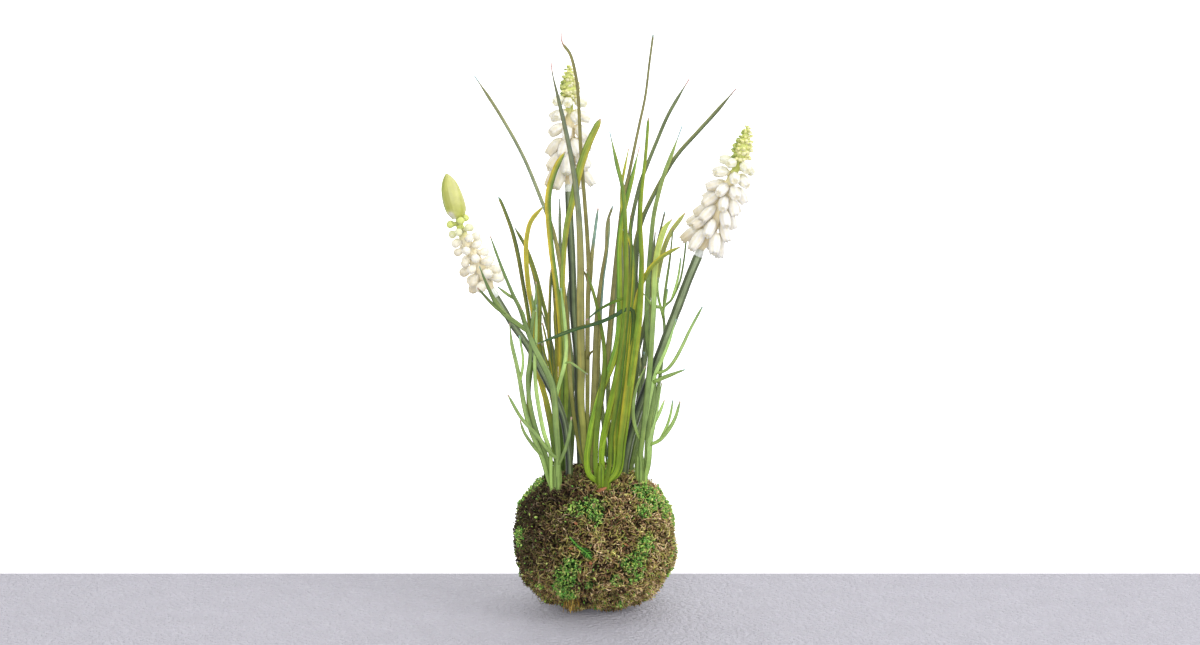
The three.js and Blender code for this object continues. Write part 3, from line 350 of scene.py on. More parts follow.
SPRIGS = [
  dict(name="left_front_sprig", root=(-18.2, -20), finish="pale", stalks=[
    [blade(2.9, -5, (-17.9, 74), (-18.8, 90), (-20, 107), (-23.5, 117), (-29, 128), (-33, 138),
       (-36, 147), (-39.4, 154), (-45, 168), (-50, 182), tip="thin", light=0.25, hue=0.6),
     blade(2.3, -7, (-32.6, 136), (-37, 139.5), (-43, 144), (-47.6, 150), (-51.5, 158), (-55.3, 167.5),
       tip="thin", light=0.12, hue=0.6),
     blade(1.1, -9, (-43, 144), (-48.5, 148.5), (-56.2, 157), light=0.1, hue=0.8),
     blade(1.1, 3, (-38.3, 151.5), (-42, 154), (-46.5, 157.5), light=0.25),
     blade(1.1, -3, (-33.6, 140), (-34.2, 143.5), (-35.4, 147.5)),
     blade(1.9, 3, (-19.3, 101), (-17.3, 110), (-14.6, 120), (-13.8, 130), (-14.6, 142), (-16.4, 157)),
     blade(0.9, -4, (-14.6, 120), (-12.2, 121), (-8.5, 118.6), (-3.5, 115)),
     blade(1.4, -6, (-17.9, 73), (-23, 78), (-28, 85), (-35.5, 93.5), (-42, 105)),
     blade(1.3, -4, (-17.8, 70), (-14.6, 78), (-12.4, 86), (-11.4, 94))],
    [blade(2.3, 10, (-23.5, 71), (-28.5, 81.5), (-32, 91), (-34.4, 101), (-36.2, 112), (-38, 121),
       (-40, 130), (-41, 140)),
     blade(1.0, 2, (-36.1, 111), (-34.6, 122), (-36.4, 134)),
     blade(1.2, -5, (-25.3, 75), (-29.5, 80), (-34, 86.5), (-36.2, 92.5))],
    [blade(2.1, 4, (-22.2, 73), (-26.8, 83), (-29.8, 93), (-31.7, 103), (-32.4, 113), (-31.3, 122),
       (-30.8, 132), (-29.9, 142), (-28.4, 152), (-28.2, 160)),
     blade(0.9, -3, (-29.4, 146), (-29.8, 150), (-30.2, 154))],
    [blade(1.9, -2, (-21, 75), (-24.6, 86), (-26.8, 97), (-28.4, 108), (-29, 120), (-28.3, 134),
       (-28, 149))],
  ]),
  dict(name="left_back_sprig", root=(-15.5, 8), finish="edged", stalks=[
    [blade(2.5, -3, (-16.5, 90), (-16.4, 112), (-16.4, 135), (-18.4, 157), (-20.8, 175), (-22.3, 194),
       (-22, 203), (-20, 211), (-17.3, 217.5), (-14, 222.5), tip="lance", swell=0.35, edges=(1.0, 0.0),
       light=0.55)],
    [blade(2.3, -22, (-14.6, 90), (-13.7, 112), (-14.4, 130), (-15.6, 146), (-15.3, 166), (-13.8, 185),
       (-10.7, 199), (-7.4, 213.6), (-3.3, 225.7), (2.6, 238.3), tip="round", swell=0.7,
       edges=(0.15, 0.6), light=1.0)],
    [blade(2.5, -16, (-19.6, 84), (-23, 100), (-26.9, 115), (-28.6, 130), (-29.6, 144.5), (-31.8, 157),
       (-33, 172), (-32.5, 182), (-30.3, 189.7), (-24.5, 196.5), tip="lance", edges=(1.0, 0.75),
       light=0.6)],
    [blade(2.1, 10, (-22, 75), (-28.3, 84), (-31.4, 96), (-32, 107), (-30.8, 119), (-30.6, 131),
       (-32, 144), (-34.3, 158), (-36.6, 172), (-39.4, 184), (-43.7, 196), (-46, 201), tip="blunt",
       swell=0.6, edges=(0.25, 0.0), light=0.1, hue=0.6)],
    [blade(2.0, 19, (-18.6, 92), (-20.6, 115), (-22.4, 138), (-25.4, 152), (-28.4, 164), (-32.7, 176),
       (-38.2, 186), tip="lance", edges=(0.1, 0.2), light=0.35)],
    [blade(2.0, 6, (-21, 88), (-24.8, 108), (-26.6, 130), (-26.4, 150), (-28.7, 163), (-34, 176.5),
       edges=(0.5, 0.1), light=0.4)],
    [blade(1.4, 14, (-18.6, 88), (-21, 110), (-21.9, 135), (-21.6, 152), (-21, 166), light=0.1,
       hue=0.5)],
    [blade(1.8, 2, (-17.6, 84), (-18.7, 105), (-18.6, 128), (-19.4, 143), (-19.2, 152),
       edges=(0.2, 0.6), light=0.3)],
    [blade(0.9, -20, (-18.6, 95), (-20.4, 115), (-22.6, 128), (-25.2, 140)),
     blade(0.8, -4, (-20.4, 115), (-23.2, 122), (-25.6, 130))],
  ]),
  dict(name="centre_front_sprig", root=(3, -21.5), finish="fresh", stalks=[
    [blade(2.6, 8, (-0.6, 66), (-2.9, 73), (-3, 81), (-0.6, 94), (3.7, 109), (8.4, 121), (11.4, 135),
       (11.8, 157), (11.6, 175), (12.6, 188), (16, 203), (21.2, 225), tip="hair", edges=(0.0, 0.3),
       light=0.7)],
    [blade(2.2, 2, (0.9, 68), (0.4, 80), (1.2, 92), (3, 105), (4.6, 119), (4.2, 130), (2.4, 141),
       (0.5, 150), (-2, 159), (-4.2, 166), edges=(0.1, 0.1), light=0.2)],
    [blade(2.4, -12, (2.5, 70), (3, 79), (5, 90), (7.5, 101), (10.2, 113), (12.6, 127), (14.2, 142),
       (15, 165), (14.4, 190), (13.2, 205), (10.6, 216), (7, 232), tip="hair", edges=(0.1, 0.3),
       light=0.45, hue=0.2),
     blade(0.9, -6, (14.6, 152), (10.6, 151), (4.4, 148), (0, 145), (-4, 141.4), edges=(0.0, 0.0),
       light=0.05, hue=1.0)],
    [blade(1.9, 14, (3.4, 76), (5.4, 88), (8.2, 100), (11, 112), (13.4, 125), (15.2, 145), (14.6, 168),
       (13, 190), (12.8, 206), (16, 224), edges=(0.5, 0.9), light=0.6)],
    [blade(2.7, -17, (9, 66.5), (12, 74), (14, 85), (15.5, 98), (17.4, 113), (19.3, 127), (20.9, 140),
       (21.9, 155), (22.3, 172), (21.6, 188), (22.2, 203), (24, 220), (25.4, 238.5), tip="blunt",
       swell=0.1, edges=(0.1, 0.35), light=0.55)],
    [blade(2.5, -4, (8, 67), (11, 75), (12.9, 86), (14.4, 98), (16, 112), (17.4, 128), (18.7, 143),
       (20.8, 154.5), (24.7, 164), (29, 169.5), (34.9, 174), (41, 177), tip="lance", edges=(0.75, 0.25),
       light=0.35)],
    [blade(2.1, 4, (7.4, 69), (9.6, 78), (10.5, 90), (11.7, 102), (13.6, 115), (15.4, 130), (17.2, 147),
       (18.4, 162), (17.9, 174), (16.2, 181.5), (13.4, 185.3), tip="lance", edges=(1.0, 0.1),
       light=0.5)],
    [blade(2.4, -3, (5, 67), (5.5, 74.5))],
    [blade(2.0, -7, (9, 70), (12.8, 84), (15, 100), (16.8, 120), (18.3, 137), (18.1, 146),
       (14.6, 146.6), (10.4, 144.2), (4.4, 141.2), (-1.7, 139.2), (-7.8, 137.6), (-14, 135.4),
       (-20, 133), (-27.5, 130), swell=0.25, edges=(0.0, 0.0), light=0.1, hue=1.0)],
    [blade(1.8, -26, (6, 72), (8.6, 90), (11.4, 108), (13.8, 128), (16.2, 150), (17.4, 172),
       (16.8, 192), light=0.15, hue=0.4)],
  ]),
  dict(name="centre_back_sprig", root=(-2.6, -3), finish="olive", stalks=[
    [blade(1.8, 30, (-6.6, 81), (-9.6, 91), (-11.6, 107), (-12.6, 125), (-13.4, 138), (-14.7, 154),
       (-17, 170), (-19.8, 184), (-25, 198), (-34, 220), (-45, 240), (-57, 258.5), tip="hair",
       light=0.55, hue=0.5)],
    [blade(1.9, -4, (-3.6, 90), (-3.6, 110), (-3.6, 132), (-3.4, 150), (-3, 165), (-3.7, 182),
       (-5, 200), (-6.6, 221), (-7.6, 243), (-8.6, 256), (-11.4, 268), (-15.4, 274), (-16, 279),
       tip="stub", light=0.45, chance=0.3),
     blade(1.3, 9, (-3.4, 150), (-2.2, 162), (-1.2, 175), (1.5, 195.5), light=0.6, hue=1.0),
     blade(0.9, -5, (-3.6, 122), (-2.6, 125), (-0.4, 127)),
     blade(0.9, 5, (-3.2, 158), (-4.2, 163), (-6, 166))],
    [blade(3.2, -12, (-5.4, 88), (-6.8, 102), (-6.6, 118), (-6.8, 135), (-6.9, 152), (-6.9, 170),
       (-7.6, 190), (-9.4, 208), (-12.4, 225.5), (-16.6, 244.5), (-19.8, 258), (-20.8, 265),
       tip="drawn", light=(0.9, 0.2), hue=0.5, chance=0.2)],
    [blade(2.4, -15, (-2, 86), (-0.8, 101), (0, 120), (0.6, 138), (1.8, 152), (3.5, 165), (5.3, 176),
       (5.8, 188), (8.5, 196.5), tip="blunt", light=0.5)],
    [blade(1.3, 12, (-0.4, 95), (1.4, 120), (2.8, 148), (3.9, 162), (5.4, 172), (6.4, 182), (7, 190.5),
       light=0.6, hue=1.0)],
    [blade(2.0, 20, (0.6, 86), (3.6, 105), (6, 125), (7.4, 141), (8.4, 152), (9.6, 165), (11.4, 183),
       (13.4, 200), (16, 211), (18.5, 223), (21.2, 236), (23.9, 249), (25.7, 264), (27.5, 278),
       tip="blunt", light=0.35, edges=(0.0, 0.1))],
  ]),
  dict(name="right_front_sprig", root=(21.4, -8), finish="pale", stalks=[
    [blade(2.3, -4, (20.9, 72), (22.4, 82), (24.3, 93), (26.4, 104), (28.8, 114.5), (32, 122),
       (35.4, 130.5), (39, 142)),
     blade(2.2, -10, (28, 111), (32, 113), (36.5, 114.8), (43.3, 117.4), tip="blunt", light=0.75),
     blade(1.2, 6, (29.2, 115.5), (34, 117), (38, 121.5), (41.8, 128.5), (45.7, 137), (51.5, 148),
       light=0.5),
     blade(1.7, -8, (22.3, 81.5), (19.7, 88), (18.4, 95), (18.8, 103), (20.8, 111), (24.3, 119))],
    [blade(2.5, 8, (24, 71), (26.2, 82), (28.4, 92), (30.3, 102), (32.3, 111)),
     blade(1.4, -12, (25.9, 80.5), (30.6, 82.6), (35.4, 88), (38.8, 94), (41, 101.8)),
     blade(1.0, -4, (30.6, 82.6), (34.3, 89.5), (36.4, 96), (37.5, 102.3)),
     blade(1.2, 5, (28, 90), (31, 96), (33.5, 102.4))],
    [blade(2.3, 12, (22.6, 70), (24.3, 79), (26.2, 91), (28, 103), (28.4, 113), (26.9, 122.5),
       (25.3, 131.5), (24.8, 145), (25.4, 160), (26.4, 175), (27.9, 191), (30.2, 202), (33, 212),
       (36.6, 221.5), (41.5, 235), tip="whip", edges=(0.2, 0.4, 0.6), light=0.2, hue=0.3, chance=0.8)],
    [blade(1.6, 16, (23.6, 74), (26.6, 88), (29.2, 100), (31, 112), (32.4, 124), (33.4, 136),
       (32.9, 147), (36.7, 151.4), (40.6, 160), (42.6, 171), (43.7, 182), tip="blunt", light=0.15,
       hue=0.4),
     blade(1.2, 4, (33.1, 144.5), (33.2, 152), (34.4, 161), (35.8, 171), (37.3, 186), tip="blunt",
       light=0.2, hue=0.4),
     blade(0.9, -9, (36.7, 151.4), (38.8, 158), (40.2, 164.5), (41, 171.5)),
     blade(1.7, -9, (33.2, 142.5), (31.6, 147.5), (28.6, 148), (26, 150.6), (23.3, 154.3)),
     blade(0.9, -5, (33.1, 144.5), (30.9, 150), (30, 156), (30.2, 162)),
     blade(0.8, -4, (33, 145.6), (33.8, 151), (34.8, 156.5))],
    [blade(2.5, -13, (21.8, 74), (23.4, 88), (24.8, 103), (26.4, 119), (27.4, 135), (28.2, 150),
       (28.5, 163), (29.6, 173), (31.4, 180.5), (33.6, 186.4), (36.9, 190.2), tip="lance", swell=0.3,
       edges=(0.85, 0.8, 0.62), light=(0.3, 0.75))],
  ]),
  dict(name="right_back_sprig", root=(15, 10), finish="greyGreen", stalks=[
    [blade(1.8, 24, (15.6, 88), (16.8, 108), (17, 130), (16.2, 155), (16.7, 183), (20.9, 205),
       (24.8, 216), (29.8, 228.5), (34.5, 239.5), (40.4, 250), (44.7, 257), tip="hair", light=0.35)],
    [blade(1.9, -6, (17, 90), (19.4, 112), (20.2, 135), (19.5, 160), (19.3, 177), (22.6, 190),
       (27, 200), (33.4, 212), (39.6, 221.6), (48, 231), (57.6, 241.6), (67, 252.6), tip="hair",
       light=0.25)],
    [blade(1.6, 32, (18.4, 88), (21.8, 110), (24.4, 135), (26.4, 155), (28.6, 173), (33.4, 194),
       tip="blunt", light=0.05)],
    [blade(1.9, 6, (18.8, 88), (22.6, 112), (25.8, 136), (29, 157), (32.4, 174), (36, 183.5),
       (39.8, 189), (43.1, 193.4), tip="lance", swell=0.2, edges=(0.8, 0.5, 0.5), light=(0.5, 0.95))],
    [blade(1.2, -3, (17.2, 78), (19.9, 85), (22.4, 97), (23.2, 111), (23.6, 126))],
    [blade(1.1, 15, (18.4, 79), (22.4, 90), (22.8, 105), (21.5, 121), (20.4, 140))],
  ]),
  dict(name="rear_left_sprig", root=(-13.5, 20), finish="greyGreen", stalks=[
    [blade(2.0, 8, (-14.8, 100), (-17.6, 130), (-19.6, 158), (-21.4, 184))],
    [blade(1.9, 26, (-10.4, 92), (-7.6, 118), (-6.6, 145), (-6.2, 172), (-7.6, 192))],
    [blade(1.8, 16, (-12.2, 95), (-13.4, 120), (-15.6, 148), (-16.6, 176), (-16.8, 200))],
    [blade(1.8, 32, (-17.6, 90), (-22.4, 112), (-26, 134), (-28.2, 158), (-31.6, 170))],
    [blade(1.5, 20, (-12.4, 92), (-10.8, 115), (-13, 140), (-12.4, 160))],
    [blade(1.6, 38, (-14.6, 88), (-18, 108), (-20.4, 128), (-25.6, 146))],
  ]),
  dict(name="rear_right_sprig", root=(7.5, 22), finish="greyGreen", stalks=[
    [blade(2.0, 18, (8.8, 92), (12, 120), (13.2, 148), (13, 172), (12.4, 196))],
    [blade(2.0, 8, (9.6, 95), (14.6, 122), (18.4, 150), (20.4, 178), (21.6, 208))],
    [blade(1.8, 30, (11, 92), (17.6, 115), (23.4, 138), (26.6, 160), (28.8, 184))],
    [blade(1.9, 24, (4.4, 90), (1.8, 115), (0.8, 140), (2.2, 158))],
    [blade(1.7, 36, (6.6, 92), (6.4, 115), (8, 138), (10.4, 160), (11.4, 178))],
    [blade(1.6, 14, (12.6, 90), (19, 110), (24.6, 130), (26.4, 152))],
  ]),
]
FLOWERS = [
    dict(
        side="left", root=(-12.3, -9), depth=-5, kind="knobs", tiers=8,
        stem=[(-12.6, 74), (-13.6, 83), (-15, 92), (-18, 101), (-22, 109), (-28, 121),
              (-33, 130), (-39, 138.5), (-44, 147), (-48, 153.5)],
        head=[(-49.5, 156), (-56, 168), (-61, 178), (-65.5, 189.5)],
        top=[(-65.9, 190.5), (-68.7, 200), (-71.5, 211.5)],
    ),
    dict(
        side="back", root=(-7, 14), depth=24, kind="bells", tiers=6,
        stem=[(-7.5, 90), (-8, 108), (-8.6, 126), (-10.2, 144), (-11, 169), (-12, 189),
              (-12.4, 204)],
        head=[(-12.5, 206), (-12.4, 220), (-12.2, 235), (-12, 248)],
        top=[(-12, 248.6), (-12, 256), (-12.2, 263.8)],
    ),
    dict(
        side="right", root=(14, -3), depth=-8, kind="bells", tiers=7,
        stem=[(15.4, 77), (17.7, 87), (21, 98), (25.4, 110), (29.5, 120.5), (34.9, 135),
              (39.8, 148), (44.6, 161), (49.3, 172.5)],
        head=[(50.3, 175), (56, 188), (62, 202), (68.5, 218)],
        top=[(68.8, 218.8), (70.6, 226), (72.7, 235)],
    ),
]
print(len(SPRIGS), "bunches of grass and", len(FLOWERS), "flowers")

# %% [markdown]
# The blades start on the ball, so its form is needed before they can be laid out. It is
# a ball that is a little fuller at the shoulders than a plain one, cut off by the small
# flat spot that it stands on. Tufts of moss swell it unevenly.

# %% The ball's form
BALL_RADIUS = 39.3
BALL_HALF_HEIGHT = 35.2
BALL_MIDDLE = 34.0
BALL_CENTRE = np.array([0, 0, BALL_MIDDLE])
SQUARENESS = 2.4
MOSS_THICKNESS = 4.5
TUFTS = 120
TUFT_SINK = 1.1
GOLDEN_ANGLE = 2.39996
tuft_draw = seeded(11)
tuft_ways, tuft_heights, tuft_sizes = [], [], []
for i in range(TUFTS):
    z = 1 - 2 * (i + 0.5) / TUFTS
    around = i * GOLDEN_ANGLE + tuft_draw()
    level = math.sqrt(1 - z * z)
    tuft_heights.append(mix(0.6, 2.6, tuft_draw()))
    tuft_sizes.append(mix(0.13, 0.22, tuft_draw()))
    tuft_ways.append((level * math.cos(around), level * math.sin(around), z))
tuft_ways, tuft_heights, tuft_sizes = map(np.array, (tuft_ways, tuft_heights, tuft_sizes))


def ball_reach(ways, inset=0.0):
    """Distance from the ball's middle to its plain surface, for unit directions (n, 3)."""
    level = np.hypot(ways[:, 0], ways[:, 1]) / (BALL_RADIUS - inset)
    upright = np.abs(ways[:, 2]) / (BALL_HALF_HEIGHT - inset)
    return (level**SQUARENESS + upright**SQUARENESS) ** (-1 / SQUARENESS)


def relief(ways):
    """How far the tufts of moss swell the ball there."""
    angles = np.arccos(np.clip(ways @ tuft_ways.T, -1, 1))
    return (tuft_heights * np.exp(-((angles / tuft_sizes) ** 2))).max(1) - TUFT_SINK


def ball_top(x, y):
    level = math.hypot(x, y) / BALL_RADIUS
    height = BALL_HALF_HEIGHT * (1 - level**SQUARENESS) ** (1 / SQUARENESS)
    return BALL_CENTRE + [x, y, height]


def on_ball(ways, lift=0.0):
    """The points of the tufted surface in some directions, lifted by some millimetres."""
    reach = ball_reach(ways) + relief(ways) + lift
    return BALL_CENTRE + ways * reach[:, None]


print("the ball is", 2 * BALL_RADIUS, "mm wide")

# %% [markdown]
# Now each blade gets a route: the points it is seen at, with a depth that grows towards
# its tip. A twig starts on the nearest point of the stalk that it is listed with.

# %% Routes
ROOT_RISE = 1.5  # the blades start this far above the ball, inside their foot
PEG_DEPTH = 16.0
STEM_RADIUS = 1.65
KNOT_STEP = 6.0  # between the places where a blade can be bent back or forward
LEAST_WIDTH = 0.7
JOINT_STEPS = 300  # places on a stalk that are tried as a twig's start
LEAN_GROWTH = 1.3  # above 1, so a blade leans more and more
blade_draw = seeded(5)


def lay_route(item, root, joint):
    """A blade's curve as it is seen, with its depth; the CAD's own rule."""
    points = np.array([(x, 0, z) for x, z in item["seen"]], float)
    if joint:
        points[0] = joint["point"]
    else:
        angle = blade_draw() * 2 * math.pi
        start = root + np.array([math.cos(angle), math.sin(angle), ROOT_RISE])
        points = np.vstack([as_seen(start), points])
    steps = np.hypot(np.diff(points[:, 0]), np.diff(points[:, 2]))
    way = np.concatenate([[0], np.cumsum(steps)])
    points[:, 1] = points[0, 1] + item["lean"] * (way / way[-1]) ** LEAN_GROWTH
    curve = Curve(points)
    knots = math.ceil(curve.length / KNOT_STEP) + 2
    return dict(item=item, joint=joint, curve=curve, shift=np.zeros(knots))


def nearest_joint(stalk, x, z):
    """The place on a stalk or its twigs that is seen nearest to (x, z)."""
    best = None
    for route in stalk:
        points = route["curve"].at(np.linspace(0, 1, JOINT_STEPS + 1))
        away = np.hypot(points[:, 0] - x, points[:, 2] - z)
        k = int(away.argmin())
        if best is None or away[k] < best["away"]:
            best = dict(route=route, t=k / JOINT_STEPS, point=points[k], away=away[k])
    return best


routes = []
for sprig in SPRIGS:
    sprig["base"] = ball_top(*sprig["root"])
    sprig["routes"] = []
    for main, *twigs in sprig["stalks"]:
        stalk = [lay_route(main, sprig["base"], None)]
        for twig in twigs:
            joint = nearest_joint(stalk, *twig["seen"][0])
            stalk.append(lay_route(twig, sprig["base"], joint))
        sprig["routes"] += stalk
    routes += sprig["routes"]
for number, route in enumerate(routes):
    route["number"] = number

for flower in FLOWERS:
    base = ball_top(*flower["root"])
    seen = np.array(flower["stem"], float)
    depths = mix(flower["root"][1], flower["depth"], np.arange(1, len(seen) + 1) / len(seen))
    stem_points = seen_at(seen[:, 0], seen[:, 1], depths)
    flower["stem_curve"] = Curve(np.vstack([base - [0, 0, PEG_DEPTH], base, stem_points]))
    for part in ("head", "top"):
        seen = np.array(flower[part], float)
        flower[part + "_curve"] = Curve(seen_at(seen[:, 0], seen[:, 1], float(flower["depth"])))
print(len(routes), "blades, the longest is", round(max(r["curve"].length for r in routes)), "mm")

# %% [markdown]
# Blades of different bunches cross in the picture, and they can't pass through each
# other. So they settle by themselves: marks along each blade feel which others are too
# close, and bend the blade back or forward a little, again and again. That leaves the
# picture from the front as it is. It is the CAD's own rule, so the result is the same.

# %% Marks along the blades
MARK_STEP = 3.0
HEAD_REACH = dict(knobs=10.5, bells=11.5)
TOP_REACH = 5.2
NO_BLADE = (-1, 0, -1)  # what a mark on a flower has for its route, share and bunch


def blade_width(item, t):
    """A little narrower at its start, and pointed from its middle on."""
    rise = np.minimum(1, 0.72 + 0.9 * t)
    fall = 1 - np.maximum(0, (t - 0.5) / 0.5) ** 1.7
    return item["wide"] * rise * fall


marks = []  # x, depth, height, radius, route, share of its length, bunch
for bunch, sprig in enumerate(SPRIGS):
    for route in sprig["routes"]:
        count = math.ceil(route["curve"].length / MARK_STEP)
        t = np.arange(count + 1) / count
        at = route["curve"].at(t)
        radius = np.maximum(LEAST_WIDTH, blade_width(route["item"], t)) / 2
        same = np.ones(count + 1)
        marks.append(np.stack([*at.T, radius, same * route["number"], t, same * bunch], 1))
for flower in FLOWERS:
    flower_parts = [("stem_curve", STEM_RADIUS), ("head_curve", HEAD_REACH[flower["kind"]]),
                    ("top_curve", TOP_REACH)]
    for part, radius in flower_parts:
        count = math.ceil(flower[part].length / MARK_STEP)
        at = as_seen(flower[part].at(np.arange(count + 1) / count))
        marks.append(np.hstack([at, np.tile([radius, *NO_BLADE], (count + 1, 1))]))
marks = np.vstack(marks)
mark_x, mark_depth, mark_height, mark_radius, mark_route, mark_way, mark_bunch = marks.T
mark_route, mark_bunch = mark_route.astype(int), mark_bunch.astype(int)
print(len(marks), "marks")

# %% [markdown]
# Two marks of different bunches that are seen over each other need a distance in depth.
# A flower never gives way, so a blade beside it moves the whole distance, not half.

# %% Which marks are too close
CLEAR_WAY = 0.95
pairs = []
for i in range(len(marks)):
    near = mark_radius[i] + mark_radius[i + 1:] + CLEAR_WAY
    seen = np.hypot(mark_x[i + 1:] - mark_x[i], mark_height[i + 1:] - mark_height[i])
    close = np.nonzero((seen < near) & (mark_bunch[i + 1:] != mark_bunch[i]))[0]
    need = np.sqrt(near[close] ** 2 - seen[close] ** 2)
    pairs.append(np.stack([np.full(len(close), i), close + i + 1, need], 1))
pairs = np.vstack(pairs)
first, second, need = pairs[:, 0].astype(int), pairs[:, 1].astype(int), pairs[:, 2]
half = np.where((mark_route[first] >= 0) & (mark_route[second] >= 0), 0.5, 1.0)
print(len(pairs), "pairs of marks are close in the picture")

# %% [markdown]
# A blade bends at knots. Each mark pulls the knots around it, weaker with distance, and
# near its foot or its joint a blade holds still.

# %% Knots and their weights
SPREAD = 15 / KNOT_STEP
STALK_HOLD = (5, 28)  # a stalk gets free between these distances from its foot
TWIG_HOLD = (1, 12)

starts = np.concatenate([[0], np.cumsum([len(r["shift"]) for r in routes])])
own_marks = [np.nonzero(mark_route == r["number"])[0] for r in routes]


def knot_of(route, t):
    """The knot before a place on a route, and how far the place is past it."""
    place = t * route["curve"].length / KNOT_STEP
    k = np.floor(place).astype(int)
    return starts[route["number"]] + k, place - k


weights, free, mark_knot, mark_share = [], np.zeros(starts[-1]), [], []
for route, own in zip(routes, own_marks):
    knots = np.arange(len(route["shift"]))
    middles = mark_way[own] * route["curve"].length / KNOT_STEP
    weights.append(np.exp(-(((knots - middles[:, None]) / SPREAD) ** 2)))
    hold = TWIG_HOLD if route["joint"] else STALK_HOLD
    free[starts[route["number"]]:][:len(knots)] = smooth_step(knots * KNOT_STEP, *hold)
    k, share = knot_of(route, mark_way[own])
    mark_knot.append(k)
    mark_share.append(share)
mark_knot, mark_share = np.concatenate(mark_knot), np.concatenate(mark_share)
print(len(free), "knots")

# %% [markdown]
# Then the rounds: the strongest push on each mark bends its blade a little. Many small
# rounds end in a calm state, where one big one would throw the blades about.

# %% Settling
ROUNDS = 200
EASED = 0.7
shift = np.zeros(starts[-1])
blade_marks = len(mark_knot)
carried = np.zeros(len(routes) + 1)

for _ in range(ROUNDS):
    for route in routes:
        if route["joint"]:
            stalk = route["joint"]["route"]
            k, share = knot_of(stalk, route["joint"]["t"])
            own = mix(shift[k], shift[k + 1], share)
            carried[route["number"]] = own + carried[stalk["number"]]
    depths = mark_depth.copy()
    depths[:blade_marks] += mix(shift[mark_knot], shift[mark_knot + 1], mark_share)
    depths[:blade_marks] += carried[mark_route[:blade_marks]]
    apart = depths[first] - depths[second]
    push = np.maximum(0, need - np.abs(apart)) * half
    way = np.where(apart >= 0, 1, -1)
    back, ahead = np.zeros(len(marks)), np.zeros(len(marks))
    np.maximum.at(back, np.where(way > 0, first, second), push)
    np.maximum.at(ahead, np.where(way > 0, second, first), push)
    for route, own, weight in zip(routes, own_marks, weights):
        knots = slice(starts[route["number"]], starts[route["number"] + 1])
        pull = (back[own, None] * weight).max(0) - (ahead[own, None] * weight).max(0)
        shift[knots] += EASED * free[knots] * pull
for route in routes:
    route["shift"] = shift[starts[route["number"]]:starts[route["number"] + 1]]
print("the most that a blade was moved is", round(np.abs(shift).max(), 1), "mm")

# %% [markdown]
# The knots are six millimetres apart, and straight lines between them would show as
# kinks from the side. So each bend is smoothed before it is used, and a twig follows its
# stalk.

# %% Where a blade's middle line runs
SMOOTHING = [(-6.0, 0.15), (-3.0, 0.22), (0.0, 0.26), (3.0, 0.22), (6.0, 0.15)]  # (mm along, share)


def bent_back(route, t):
    """How far a route is bent back at t, rounded off between its knots."""
    t = np.atleast_1d(np.asarray(t, float))
    length = route["curve"].length
    total = np.zeros(len(t))
    for offset, share in SMOOTHING:
        place = np.clip(t * length + offset, 0, length) / KNOT_STEP
        total += share * np.interp(place, np.arange(len(route["shift"])), route["shift"])
    if route["joint"]:
        total += bent_back(route["joint"]["route"], route["joint"]["t"])
    return total


def middle_line(route, t):
    """The real places of a blade's middle line at some shares of its length."""
    at = route["curve"].at(t)
    return seen_at(at[:, 0], at[:, 2], at[:, 1] + bent_back(route, t))


print("the first blade ends at", middle_line(routes[0], np.array([1.0])).round(1).tolist())

# %% [markdown]
# ## Finishes
#
# A material is a small network of nodes. One helper makes a node and fills its inputs,
# with a value or with a link from another node. Colours are written in hex and turned
# into the linear numbers that the renderer works with.

# %% Node helpers
def paint(code):
    """A hex colour as linear red, green and blue, and a full alpha."""
    parts = [int(code[i:i + 2], 16) / 255 for i in (1, 3, 5)]
    return (*[c / 12.92 if c <= 0.04045 else ((c + 0.055) / 1.055) ** 2.4 for c in parts], 1.0)


def put(tree, value, socket):
    """Fills a socket with a link, a hex colour or a number."""
    if isinstance(value, bpy.types.NodeSocket):
        tree.links.new(value, socket)
    else:
        socket.default_value = paint(value) if isinstance(value, str) else value


def node(tree, kind, inputs=None, **settings):
    made = tree.nodes.new("ShaderNode" + kind)
    for key, value in settings.items():
        setattr(made, key, value)
    for key, value in (inputs or {}).items():
        put(tree, value, made.inputs[key])
    return made


def mixed(tree, factor, a, b, mode="MIX"):
    """Two colours mixed; a Mix node has its colour sockets at places 6 and 7."""
    return node(tree, "Mix", {0: factor, 6: a, 7: b}, data_type="RGBA", blend_type=mode).outputs[2]


def sums(tree, operation, a, b=0.0):
    return node(tree, "Math", {0: a, 1: b}, operation=operation).outputs[0]


def ranged(tree, value, low, high, to_low=0.0, to_high=1.0):
    """The value's way from low to high, eased at both ends."""
    inputs = dict(enumerate((value, low, high, to_low, to_high)))
    return node(tree, "MapRange", inputs, interpolation_type="SMOOTHSTEP").outputs[0]


def trait(tree, name):
    """A value that the mesh carries for each of its vertices."""
    return node(tree, "Attribute", attribute_name=name).outputs["Fac"]


def shades(tree, factor, *stops):
    """A colour ramp: (place, hex) pairs."""
    made = node(tree, "ValToRGB", {0: factor})
    ramp = made.color_ramp
    while len(ramp.elements) < len(stops):
        ramp.elements.new(0.5)
    for element, (place, code) in zip(ramp.elements, stops):
        element.position, element.color = place, paint(code)
    return made.outputs[0]


print("middle grey on the card is", round(paint("#808080")[0], 3), "in light")

# %% [markdown]
# A group is a small network with named inputs, which each material fills with its own
# values. The Principled shader stays in the material itself.

